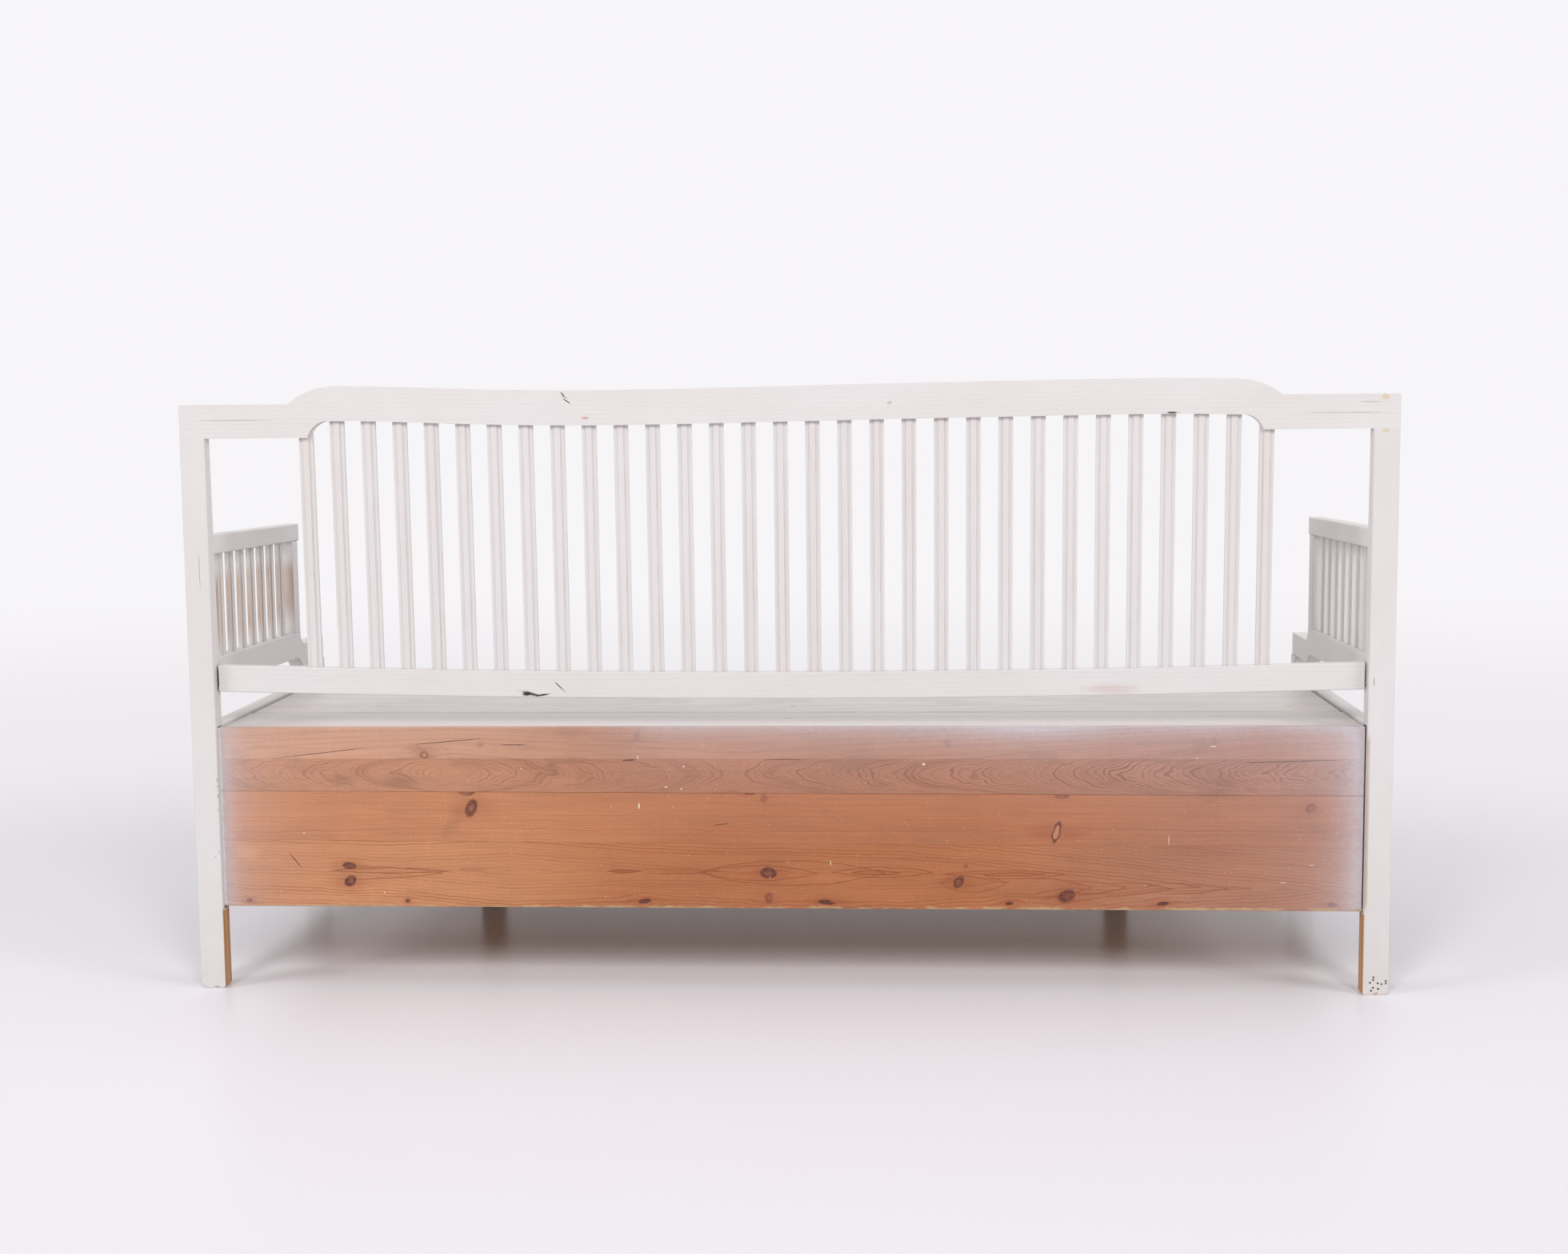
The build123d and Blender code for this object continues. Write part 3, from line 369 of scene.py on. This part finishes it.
# pointed rings of the bottom board: x, z, half length, half width, fill, open side (0 closed, 1 open towards +x)
LEAVES = [(0.7000, 0.1900, 0.1500, 0.0105, 0.00, 1), (0.6350, 0.1935, 0.0950, 0.0042, 0.10, 0), (0.1900, 0.1935, 0.0900, 0.0044, 0.36, 1),
          (0.2560, 0.1938, 0.0270, 0.0027, 1.00, 0), (0.0400, 0.1914, 0.0930, 0.0120, 0.14, 0), (-0.0100, 0.1915, 0.1500, 0.0200, 0.00, 0),
          (-0.1450, 0.1925, 0.0380, 0.0036, 0.40, 0), (-0.1560, 0.1930, 0.0800, 0.0080, 0.00, 0), (-0.3630, 0.1905, 0.0500, 0.0030, 0.50, 0),
          (-0.3500, 0.1900, 0.0950, 0.0066, 0.00, 0), (-0.4000, 0.1690, 0.0870, 0.0150, 0.00, 1), (-0.4550, 0.1690, 0.0850, 0.0120, 0.10, 1),
          (-0.5200, 0.1680, 0.0930, 0.0100, 0.12, 1), (-0.6100, 0.1680, 0.0900, 0.0085, 0.16, 1), (-0.3000, 0.1760, 0.0520, 0.0150, 0.10, 0)]


def figured(u):
    """Run of the two upper boards' rings: an island at one end, arrows along the rest."""
    return ((u - 0.53).abs()).min(u + 0.36) * 0.23


def flames(u):
    """Run of the bottom board's rings: long tongues."""
    return (u * -1.0 - 0.20).max(0.0) * 0.085 + (u - 0.44).abs().min(0.22) * 0.070


def straight(u):
    return u * 0.006


def back_board(name, seed, line, grey, figure, run, reds, specks=0.0):
    """Aged orange pine, oversprayed with paint along the posts and the seat.
    figure: centre height, its slope, roundness of the tips, crowding away from the centre, wander, ring spacing,
    contrast of the rings.
    run: how the rings' size changes along the board.
    reds: colour at the right, in the middle and at the left end."""
    g = Graph(name + "_wood")
    u, v, w = g.x, g.z, g.y
    knots = KNOTS[name]
    centre, tilt, tip, bend, wander, spacing, contrast = figure
    # rings flow round the knots
    push = None
    for kx, kz, ra, rb, turn, kind, k in knots:
        if kind in ("grime", "smudge", "glow"):
            continue
        r = max(ra * abs(math.cos(turn)), rb)
        q = g.ell(u, v, (kx, kz, r * 3.2 + 0.006, r * 1.3 + 0.004))
        e = (q * q * -1.0).exp() * (v - kz) * 0.80
        push = e if push is None else push + e
    vv = v if push is None else v - push
    slow = g.noise(g.vec(u * 1.7 + seed, 0.0, seed), 1.0, 1.0) - 0.5
    slow2 = g.noise(g.vec(u * 4.5 + seed * 1.7, v * 6.0, seed), 1.0, 2.0, 0.45) - 0.5
    curl = g.noise(g.vec(u * 22.0 + seed, v * 46.0, seed), 1.0, 2.0, 0.5) - 0.5
    wig = g.noise(g.vec(u * 70.0 + seed, v * 130.0, w * 20.0), 1.0, 1.0) - 0.5
    dv = vv - centre - u * tilt + slow * 0.014
    far = (dv.abs() - 0.018).max(0.0)
    phase = (dv * dv + tip * tip).sqrt() + far * far * bend + run(u) + slow2 * wander + curl * (wander * 0.50) + wig * (spacing * 0.6) + w * 0.2
    n = phase / spacing
    t = n.fract()
    strength = g.white(n.floor() + seed)
    band = g.noise(g.vec(n * 0.16 + seed, 0.0, 0.0), 1.0, 2.0)
    late = g.step(0.40, 0.88, t) * g.step(1.0, 0.94, t) * (strength * strength * 0.75 + 0.25)
    # tone over the length of the board
    r_col, m_col, l_col = reds
    drift = g.noise(g.vec(u * 3.0 + seed, v * 3.0, 0.0), 1.0, 2.0) - 0.5
    ux = u + drift * 0.30
    base = g.mix(g.step(0.10, 0.55, ux), lin_rgb(*m_col), lin_rgb(*r_col))
    base = g.mix(g.step(-0.25, -0.70, ux), base, lin_rgb(*l_col))
    cloud = g.noise(g.vec(u * 4.5 + seed, v * 14.0, 3.0), 1.0, 4.0, 0.6)
    streak = g.noise(g.vec(u * 3.0 + seed, v * 110.0 + phase * 60.0, seed), 1.0, 3.0, 0.62)
    streak2 = g.noise(g.vec(u * 6.0 + seed, v * 420.0, w * 60.0), 1.0, 2.0, 0.6)
    fine = pores(g, u, v, w, seed, 1.5)
    saw = g.noise(g.vec(u * 240.0, v * 6.0 + u * 40.0, 0.0), 1.0, 1.0)
    grit = g.noise(g.vec(u * 560.0, v * 560.0, w * 200.0), 1.0, 2.0, 0.7)
    amount = late * contrast
    if run is figured:
        amount = amount * g.step(0.25, -0.25, u, 0.75, 1.35)
    col = g.mix(amount, base, lin_rgb(*line))
    col = g.mix(g.step(0.48, 0.74, band) * 0.20, col, lin_rgb(*line))
    col = g.mix(g.step(0.50, 0.78, streak) * 0.26, col, lin_rgb(*line))
    col = g.scale_color(col, (cloud - 0.5) * 0.40 + (streak - 0.5) * 0.34 + (streak2 - 0.5) * 0.24 + (fine - 0.5) * 0.14
                        + (saw - 0.5) * 0.08 + (grit - 0.5) * 0.16 + 1.0)
    if name == "back_board_bottom":
        line_on = fill_on = None
        for lx, lz, la, lb, fill, side in LEAVES:
            du = (u - lx) / la
            rise = (v - lz + curl * 0.0050 + wig * 0.0016).abs() / lb + du * du
            width = 0.0011 / lb
            ring = g.step(1.0 - width, 1.0 - width * 0.25, rise) * g.step(1.0 + width * 0.8, 1.0, rise)
            inner = g.step(1.0, 0.75, rise) * fill
            if side:
                gone = g.step(0.55, -0.35, du)
                ring, inner = ring * gone, inner * gone
            line_on = ring if line_on is None else line_on.max(ring)
            fill_on = inner if fill_on is None else fill_on.max(inner)
        col = g.mix(fill_on * 0.72, col, lin_rgb(156, 84, 50))
        col = g.mix(line_on * 0.82, col, lin_rgb(140, 74, 44))
    # knots
    wob = g.noise(g.vec(u * 150.0, v * 190.0, 3.0), 1.0, 3.0, 0.6) - 0.5
    wob2 = g.noise(g.vec(u * 48.0, v * 60.0, 7.0), 1.0, 1.0) - 0.5
    body = rim = core = halo = soft = grimy = glow = None
    top = lambda a, b: b if a is None else a.max(b)
    for kx, kz, ra, rb, turn, kind, k in knots:
        d = g.ell(u, v, (kx, kz, ra, rb), turn) + wob * 0.70 + wob2 * 0.8
        if kind == "grime":
            grimy = top(grimy, g.step(1.5, 0.2, d) * k)
        elif kind == "glow":
            glow = top(glow, g.step(1.5, 0.4, d) * k)
        elif kind == "smudge":
            soft = top(soft, g.step(1.35, 0.25, d) * k)
        else:
            halo = top(halo, g.step(3.4, 0.8, g.ell(u, v, (kx, kz, ra * 1.2, rb)) + wob2 * 0.8) * k)
            if kind == "dark":
                body = top(body, g.step(1.25, 0.80, d) * k)
                rim = top(rim, g.step(0.25, 0.80, d) * g.step(1.25, 0.92, d) * k * g.step(-0.20, 0.16, wob * 1.3 + wob2 * 0.6))
                core = top(core, g.step(0.50, 0.15, d) * k * g.step(0.20, -0.10, wob + wob2) * 0.28)
            elif kind == "pit":
                rim = top(rim, g.step(1.10, 0.75, d) * k)
            else:
                rim = top(rim, g.step(0.50, 0.85, d) * g.step(1.20, 0.95, d) * k)
                core = top(core, g.step(0.85, 0.45, d) * k * (1.0 if kind == "slit" else 0.55))
    if glow is not None:
        col = g.mix(glow * 0.60, col, lin_rgb(226, 166, 120))
    if halo is not None:
        col = g.mix(halo * 0.34, col, lin_rgb(156, 82, 52))
    if soft is not None:
        col = g.mix(soft * 0.60, col, lin_rgb(128, 78, 72))
    if grimy is not None:
        col = g.mix(grimy * 0.62, col, lin_rgb(122, 92, 74))
    if body is not None:
        col = g.mix(body * 0.90, col, g.mix(g.step(0.40, 0.62, g.noise(g.vec(u * 300.0, v * 420.0, 5.0), 1.0, 2.0)), lin_rgb(132, 74, 58), lin_rgb(90, 46, 46)))
    if core is not None:
        col = g.mix(core * 0.85, col, lin_rgb(196, 140, 110))
    if rim is not None:
        col = g.mix(rim * 0.80, col, lin_rgb(72, 38, 40))
    crack = None
    for cx, cz, ra, rb, turn in CRACKS[name]:
        crack = top(crack, g.step(1.10, 0.85, g.ell(u, v, (cx, cz, ra, rb), turn) + wob * 0.6 + wob2 * 0.3))
    col = g.mix(crack * 0.84, col, lin_rgb(70, 42, 32))
    # grime rubbed into the surface
    dirty = g.step(0.54, 0.74, g.noise(g.vec(u * 7.0 + 3.0, v * 17.0, 1.0), 1.0, 5.0, 0.64))
    col = g.mix(dirty * grey, col, lin_rgb(126, 94, 78))
    # scratches
    scr = g.noise(g.vec(u * 3.0 + v * 60.0, v * 300.0 - u * 12.0, 5.0), 1.0, 1.0)
    col = g.mix(g.step(0.760, 0.785, scr) * 0.20, col, lin_rgb(226, 184, 158))
    # mist of paint
    n1 = g.noise(g.vec(u * 7.0, v * 5.0, 11.0), 1.0, 4.0, 0.6)
    n2 = g.noise(g.vec(u * 110.0, v * 110.0, 2.0), 1.0, 3.0, 0.75)
    left = (g.x - 0.908).min(0.0)
    right = (-0.908 - g.x).min(0.0)
    up = (g.z - 0.425).min(0.0)
    ends = (left / 0.013).exp() * 0.66 + (left / 0.055).exp() * 0.38 + (right / 0.024).exp() * 0.80 + (right / 0.070).exp() * 0.38
    over_x = g.step(0.34, 0.16, u + (n1 - 0.5) * 0.2) * 0.37 + 0.06
    burst = (g.ell(u, v, (-0.392, 0.430, 0.080, 0.018)) * -1.0).exp() * 0.80
    tops = (up / 0.014).exp() * over_x * 0.9 + (up / 0.062).exp() * over_x * 0.54
    mist = ((ends + tops + burst) * (n1 * 0.8 + 0.60)).clamp()
    mist = mist * g.lin(0.25, 0.75, n2, 0.80, 1.14)
    col = g.mix(mist.clamp() * 0.95, col, lin_rgb(212, 205, 211))
    # paint wrapped over the end at the right post
    wrap = g.step(0.9045, 0.9075, g.x + (n2 - 0.5) * 0.005)
    col = g.mix(wrap * 0.85, col, PAINT)
    # open seam along the left post
    seam = g.step(-0.9066, -0.9078, g.x + wob2 * 0.0008)
    col = g.mix(seam * 0.92, col, lin_rgb(62, 36, 30))
    # chipped lower arris
    chip = g.step(0.1390, 0.1352, v + (g.noise(g.vec(u * 42.0, 0.0, 2.0), 1.0, 3.0, 0.7) - 0.5) * 0.012)
    col = g.mix(chip * g.step(0.42, 0.56, g.noise(g.vec(u * 18.0, v * 60.0, 9.0), 1.0, 2.0)) * 0.8, col, lin_rgb(198, 170, 130))
    # flecks of paint
    fleck = None
    for q in FLECKS:
        fleck = top(fleck, g.step(1.15, 0.85, g.ell(u, v, q) + wob * 0.7))
    rnd = g.step(0.820, 0.828, g.noise(g.vec(u * 280.0, v * 280.0, 4.0), 1.0, 0.0)) * 0.35
    if specks:
        rnd = rnd.max(g.step(0.66, 0.80, g.noise(g.vec(u * 620.0, v * 620.0, 8.0), 1.0, 1.0)) * (mist * 1.4 + 0.25) * specks)
    col = g.mix((fleck * 0.85).max(rnd).clamp(), col, lin_rgb(240, 222, 194))
    rough = g.lin(0.3, 0.7, fine, 0.46, 0.62) + mist * 0.12
    height = fine * 0.35 - late * 0.45 + grit * 0.25 + fleck * 1.2 - crack * 2.0
    if rim is not None:
        height = height - rim * 0.9
    return g.finish(col, rough, height, 0.0003, spec=0.32)


def iron(name):
    g = Graph(name)
    n = g.noise(g.vec(g.x, g.y, g.z), 900.0, 3.0, 0.6)
    col = g.mix(g.step(0.4, 0.7, n), (0.16, 0.15, 0.14), (0.10, 0.06, 0.04))
    return g.finish(col, g.lin(0.3, 0.7, n, 0.38, 0.62), n, 0.0002, metallic=0.85)


def dress(node, mat):
    o = nodes[node]
    if not o.data.materials:
        o.data.materials.append(mat)
    for i in range(len(o.data.materials)):
        o.data.materials[i] = mat


# ---------------------------------------------------------------------------
# painted pieces
# ---------------------------------------------------------------------------
crest_marks = [
    ("crack", (0.3385, 0.9520, 0.0008, 0.0048), -0.60),
    ("crack", (0.3325, 0.9420, 0.0007, 0.0062), -0.95),
    ("hair", (0.3345, 0.9480, 0.0080, 0.0008), 0.5),
    ("bare", (0.3040, 0.9156, 0.0062, 0.0020), 0.0),
    ("knot", (-0.1702, 0.9346, 0.0040, 0.0030), 0.0),
    ("crack", (-0.6039, 0.9155, 0.0075, 0.0012), 0.0),
    ("stain", (-0.9270, 0.9367, 0.0070, 0.0045), 0.0),
    ("hair", (0.862, 0.9170, 0.075, 0.00045), 0.004),
    ("hair", (-0.868, 0.9132, 0.080, 0.00045), 0.006),
    ("hair", (-0.905, 0.9290, 0.022, 0.0004), 0.02),
]
dress("crest_rail", paint("paint_crest", "x", 1.3, crest_marks))
rail_marks = [
    ("crack", (0.4030, 0.4800, 0.0120, 0.0022), 0.25),
    ("crack", (0.3850, 0.4775, 0.0110, 0.0013), -0.15),
    ("crack", (0.3570, 0.4925, 0.0075, 0.0007), 0.80),
    ("hair", (0.3500, 0.4860, 0.0110, 0.0009), 0.80),
    ("crack", (0.4085, 0.4795, 0.0060, 0.0030), -0.1),
    ("crack", (0.9078, 0.5060, 0.0016, 0.0190), 0.0),
    ("crack", (-0.9078, 0.5040, 0.0009, 0.0180), 0.0),
    ("blush", (-0.5150, 0.4850, 0.0500, 0.0110), 0.0),
]
dress("back_lower_rail", paint("paint_back_rail", "x", 4.1, rail_marks))
dress("back_spindles", paint("paint_spindles", "z", 7.7, grain=0.5))


def post_bare(g):
    """Inner face of a rear post below the back boards."""
    edge = g.noise(g.vec(g.z * 60.0, g.y * 60.0, 0.0), 1.0, 3.0) * 0.010
    return g.step(0.1365, 0.1300, g.z + edge) * g.step(0.9108, 0.9100, g.x.abs())


worm = [(-0.9264, 0.0289), (-0.9258, 0.0250), (-0.9212, 0.0202), (-0.9333, 0.0195), (-0.9393, 0.0181), (-0.9455, 0.0232),
        (-0.9458, 0.0193), (-0.9259, 0.0121), (-0.9341, 0.0104), (-0.9230, 0.0073)]
post_left_marks = [("crack", (z, x, 0.0015, 0.0015), 0.0) for x, z in worm] + [
    ("bare", (0.0030, -0.9300, 0.0020, 0.0040), 0.0),
    ("hair", (0.4975, -0.9178, 0.0110, 0.0010), 0.0),
    ("stain", (0.8859, -0.9275, 0.0035, 0.0065), 0.0),
]
post_right_marks = [
    ("hair", (0.6800, 0.9260, 0.0400, 0.0006), 0.01),
    ("bare", (0.0030, 0.9240, 0.0016, 0.0050), 0.0),
    ("hair", (0.3420, 0.9108, 0.0060, 0.0010), 0.0), ("hair", (0.3320, 0.9106, 0.0030, 0.0010), 0.0),
    ("hair", (0.3160, 0.9106, 0.0050, 0.0010), 0.0), ("hair", (0.2940, 0.9110, 0.0030, 0.0010), 0.0),
    ("hair", (0.2250, 0.9120, 0.0030, 0.0010), 0.0), ("hair", (0.2170, 0.9180, 0.0020, 0.0010), 0.0),
]


def seam_edge(g):
    """Arris of the left post beside the open seam."""
    return g.step(-0.9150, -0.9125, g.x) * g.step(0.130, 0.150, g.z) * g.step(0.420, 0.400, g.z) * g.step(0.2, 0.5, g.ny) * 0.9


dress("rear_post_left", paint("paint_post_left", "z", 2.9, post_left_marks, tan=seam_edge, bare=post_bare, grain=0.25, late_gain=0.012))
dress("rear_post_right", paint("paint_post_right", "z", 5.2, post_right_marks, bare=post_bare, grain=0.25, late_gain=0.012))


def rear_edges(lo, hi):
    def f(g):
        return g.step(0.35, 0.8, g.ny) * g.step(lo, lo + 0.05, g.z) * g.step(hi, hi - 0.03, g.z) * 0.95
    return f


for i, side in enumerate(("left", "right")):
    dress(f"arm_top_rail_{side}", paint(f"paint_arm_top_{side}", "y", 11.0 + i))
    dress(f"arm_lower_rail_{side}", paint(f"paint_arm_low_{side}", "y", 13.0 + i))
    thin = side == "right"
    dress(f"arm_front_stile_{side}", paint(f"paint_arm_stile_{side}", "z", 15.0 + i, tan=rear_edges(0.54, 0.67) if thin else None))
    dress(f"arm_slats_{side}", paint(f"paint_arm_slats_{side}", "z", 17.0 + i, tan=rear_edges(0.53, 0.68) if thin else None))
    dress(f"side_board_{side}", paint(f"paint_side_{side}", "y", 19.0 + i))
    dress(f"front_leg_{side}", paint(f"paint_leg_{side}", "z", 21.0 + i))

def seat_board(name, seed, marks):
    # the seat paint is darker (level 0.925) and warmer than the rest: painted shade on the up-facing seat
    return paint(name, "seat", seed, marks, level=0.925, grain=1.6, late_gain=0.12, warm=(1.0, 0.965, 0.955))


dress("seat_rear_board", seat_board("paint_seat_rear", 31.0, [
    ("knot", (-0.0024, 0.1958, 0.0060, 0.0080), 0.0), ("hair", (-0.6980, 0.1820, 0.0140, 0.0016), 0.0),
    ("white", (0.7265, 0.2137, 0.0050, 0.0045), 0.0), ("hair", (0.1131, 0.2105, 0.0100, 0.0020), 0.0),
    ("hair", (0.1800, 0.1500, 0.0060, 0.0020), 0.0)]))
dress("lid_board_rear", seat_board("paint_lid_rear", 33.0, [
    ("hair", (0.7063, 0.0582, 0.0180, 0.0035), 0.0), ("knot", (-0.0029, 0.0656, 0.0060, 0.0090), 0.0),
    ("knot", (-0.8327, 0.0743, 0.0060, 0.0060), 0.0), ("hair", (-0.6800, 0.0770, 0.0420, 0.0016), 0.0)]))
dress("lid_board_middle", seat_board("paint_lid_middle", 35.0, [
    ("hair", (-0.7007, 0.0477, 0.0090, 0.0030), 0.0), ("hair", (0.1981, 0.0292, 0.0100, 0.0030), 0.0),
    ("knot", (0.33, -0.06, 0.009, 0.008), 0.0)]))
dress("lid_board_front", seat_board("paint_lid_front", 37.0, [
    ("knot", (-0.41, -0.22, 0.008, 0.009), 0.0), ("knot", (0.62, -0.19, 0.010, 0.008), 0.0),
    ("hair", (0.12, -0.29, 0.030, 0.0012), 0.0)]))
dress("front_board_lower", paint("paint_front_lower", "x", 41.0, [
    ("knot", (0.48, 0.17, 0.009, 0.007), 0.0), ("knot", (-0.31, 0.21, 0.008, 0.006), 0.0),
    ("hair", (-0.70, 0.14, 0.035, 0.0007), 0.01)], grain=1.2, late_gain=0.05))
dress("front_board_upper", paint("paint_front_upper", "x", 43.0, [
    ("knot", (-0.55, 0.33, 0.009, 0.007), 0.0), ("knot", (0.16, 0.30, 0.007, 0.006), 0.0)], grain=1.2, late_gain=0.05))

# ---------------------------------------------------------------------------
# back boards
# ---------------------------------------------------------------------------
dress("back_board_top", back_board("back_board_top", 3.1, (142, 88, 66), 0.36, (0.352, 0.0, 0.018, 60.0, 0.026, 0.0033, 0.36), figured,
                                   ((213, 163, 135), (189, 139, 115), (190, 143, 126)), 0.42))
dress("back_board_upper", back_board("back_board_upper", 3.1, (116, 62, 48), 0.42, (0.352, 0.0, 0.018, 60.0, 0.026, 0.0033, 0.46), figured,
                                     ((197, 143, 113), (180, 125, 97), (179, 132, 113)), 0.26))
dress("back_board_middle", back_board("back_board_middle", 5.6, (152, 80, 46), 0.24, (0.120, 0.004, 0.010, 0.0, 0.010, 0.0040, 0.42), straight,
                                      ((203, 141, 103), (186, 121, 84), (183, 127, 101))))
dress("back_board_bottom", back_board("back_board_bottom", 12.2, (138, 70, 38), 0.24, (0.1846, 0.021, 0.0020, 0.0, 0.010, 0.0054, 0.48), flames,
                                      ((206, 145, 104), (184, 118, 78), (178, 125, 99))))

# ---------------------------------------------------------------------------
# bare pieces
# ---------------------------------------------------------------------------
def leg_painted(g):
    """Front of the inner legs, below the front board."""
    return g.step(-0.2860, -0.2868, g.y)


for i, side in enumerate(("left", "right")):
    dress(f"inner_leg_{side}", bare_wood(f"bare_inner_leg_{side}", "z", 51.0 + i, tone=0.74, painted=leg_painted))
    dress(f"drawer_side_{side}", bare_wood(f"bare_drawer_side_{side}", "y", 53.0 + i))
    dress(f"drawer_runner_{side}", bare_wood(f"bare_runner_{side}", "y", 55.0 + i))
    dress(f"lid_cleat_{side}", bare_wood(f"bare_cleat_{side}", "y", 57.0 + i))
for i, part in enumerate(("left", "middle", "right")):
    dress(f"lid_batten_{part}", bare_wood(f"bare_batten_{part}", "bed", 61.0 + i))
dress("fixed_slats", bare_wood("bare_fixed_slats", "bed", 65.0, per=(0.168, "x")))
dress("pull_out_slats", bare_wood("bare_pull_slats", "bed", 66.0, per=(0.168, "x"), light=(219, 176, 130)))
for i, n in enumerate(("drawer_rear_rail", "front_slat_ledger", "slat_bearer", "rear_slat_ledger", "seat_rear_ledger", "seat_front_rail")):
    dress(n, bare_wood("bare_" + n, "x", 71.0 + i))
for n in ("lid_screws", "leg_screws", "fixed_slat_nails", "pull_out_slat_nails", "lid_pivot_pins"):
    dress(n, iron("iron_" + n))

# ---------------------------------------------------------------------------
# floor, light, camera
# ---------------------------------------------------------------------------
WALL = lin_rgb(247, 245, 248)
bpy.ops.mesh.primitive_plane_add(size=120.0, location=(0, 0, 0))
floor = bpy.context.object
floor.name = "studio_floor"
g = Graph("studio_floor")
n1 = g.noise(g.vec(g.x * 0.7, g.y * 0.7, 0.0), 1.0, 3.0)
n2 = g.noise(g.vec(g.x * 30.0, g.y * 30.0, 0.0), 1.0, 3.0)
fcol = g.scale_color(lin_rgb_node(g, (241, 239, 245)), (n1 - 0.5) * 0.02 + 1.0)
bs = g.t.nodes.new("ShaderNodeBsdfPrincipled")
g.put(bs.inputs["Base Color"], fcol)
g.put(bs.inputs["Roughness"], g.lin(0.3, 0.7, n2, 0.29, 0.33))
bs.inputs["Specular IOR Level"].default_value = 0.09
reach = ((g.x - 0.22) * (g.x - 0.22) * 0.6 + g.y * g.y).sqrt()
em = g.t.nodes.new("ShaderNodeEmission")
g.put(em.inputs["Color"], g.mix(g.step(1.5, 7.0, reach), lin_rgb(237, 233, 238), WALL))
em.inputs["Strength"].default_value = 1.0
mx = g.t.nodes.new("ShaderNodeMixShader")
g.put(mx.inputs[0], g.step(0.80, 2.3, reach))
g.t.links.new(bs.outputs[0], mx.inputs[1])
g.t.links.new(em.outputs[0], mx.inputs[2])
g.t.links.new(mx.outputs[0], g.out.inputs[0])
floor.data.materials.append(g.mat)

world = bpy.data.worlds.new("studio")
bpy.context.scene.world = world
world.use_nodes = True
wt = world.node_tree
wt.nodes.clear()
wo = wt.nodes.new("ShaderNodeOutputWorld")
lp = wt.nodes.new("ShaderNodeLightPath")
shown = wt.nodes.new("ShaderNodeMath")
shown.operation = "MAXIMUM"
wt.links.new(lp.outputs["Is Camera Ray"], shown.inputs[0])
wt.links.new(lp.outputs["Is Glossy Ray"], shown.inputs[1])
wmix = wt.nodes.new("ShaderNodeMixShader")
seen = wt.nodes.new("ShaderNodeBackground")
seen.inputs["Color"].default_value = (*WALL, 1.0)
seen.inputs["Strength"].default_value = 1.0
lit = wt.nodes.new("ShaderNodeBackground")
lit.inputs["Color"].default_value = (1.0, 0.985, 1.0, 1.0)
lit.inputs["Strength"].default_value = 0.17
wt.links.new(shown.outputs[0], wmix.inputs[0])
wt.links.new(lit.outputs[0], wmix.inputs[1])
wt.links.new(seen.outputs[0], wmix.inputs[2])
wt.links.new(wmix.outputs[0], wo.inputs[0])


def softbox(name, at, look, w, h, watts, color=(1.0, 1.0, 1.0)):
    data = bpy.data.lights.new(name, "AREA")
    data.shape = "RECTANGLE"
    data.size, data.size_y = w, h
    data.energy = watts
    data.color = color
    o = bpy.data.objects.new(name, data)
    bpy.context.scene.collection.objects.link(o)
    o.location = at
    o.rotation_euler = (Vector(look) - Vector(at)).to_track_quat("-Z", "Y").to_euler()
    o.visible_camera = False
    o.visible_glossy = False
    return o


softbox("key_left", (2.6, 7.6, 5.3), (0.3, 0.3, 0.1), 1.7, 3.4, 230, (1.0, 0.988, 0.985))
softbox("key_right", (-2.9, 7.6, 5.3), (-0.3, 0.3, 0.1), 1.7, 3.4, 214, (1.0, 0.988, 0.985))
softbox("wide_left", (6.4, 3.8, 2.7), (0.6, 0.2, 0.2), 2.6, 2.0, 190, (1.0, 0.988, 0.985))
softbox("wide_right", (-6.4, 3.8, 2.7), (-0.6, 0.2, 0.2), 2.6, 2.0, 182, (1.0, 0.988, 0.985))
softbox("overhead", (0.0, -0.3, 4.4), (0, -0.1, 0.0), 7.0, 6.0, 92, (1.0, 0.995, 1.0))
fill = softbox("front_side", (-1.5, -5.0, 4.4), (0, -0.3, 0.4), 5.0, 3.0, 150, (1.0, 0.985, 0.97))
low = softbox("front_low", (0.6, -6.0, 1.5), (0, -0.3, 0.4), 4.5, 2.2, 115, (1.0, 0.985, 0.975))
# the fills light the bench, not the floor
skip = bpy.data.collections.new("fill_skips")
skip.objects.link(floor)
fill.light_linking.receiver_collection = skip
low.light_linking.receiver_collection = skip
skip.collection_objects[0].light_linking.link_state = "EXCLUDE"

cam_data = bpy.data.cameras.new("camera")
cam = bpy.data.objects.new("camera", cam_data)
bpy.context.scene.collection.objects.link(cam)
cam_data.sensor_fit = "HORIZONTAL"
cam_data.sensor_width = 36.0
cam_data.lens = 2847.19 / 2156.0 * 36.0
cam_data.clip_end = 200.0
YAW, PITCH, ROLL = -0.0567, 0.1078, -0.0098
fwd = Vector((-math.sin(YAW), -math.cos(YAW), 0.0))
right = Vector((-math.cos(YAW), math.sin(YAW), 0.0))
up = Vector((0, 0, 1))
fwd2 = math.cos(PITCH) * fwd - math.sin(PITCH) * up
up2 = math.cos(PITCH) * up + math.sin(PITCH) * fwd
r3 = math.cos(ROLL) * right + math.sin(ROLL) * up2
u3 = -math.sin(ROLL) * right + math.cos(ROLL) * up2
cam.matrix_world = Matrix(((r3.x, u3.x, -fwd2.x, -0.18655), (r3.y, u3.y, -fwd2.y, 3.53907), (r3.z, u3.z, -fwd2.z, 0.93602), (0, 0, 0, 1)))
bpy.context.scene.camera = cam

scene = bpy.context.scene
scene.view_settings.view_transform = "Standard"
scene.view_settings.look = "None"
scene.view_settings.exposure = 0.0
scene.view_settings.gamma = 1.0
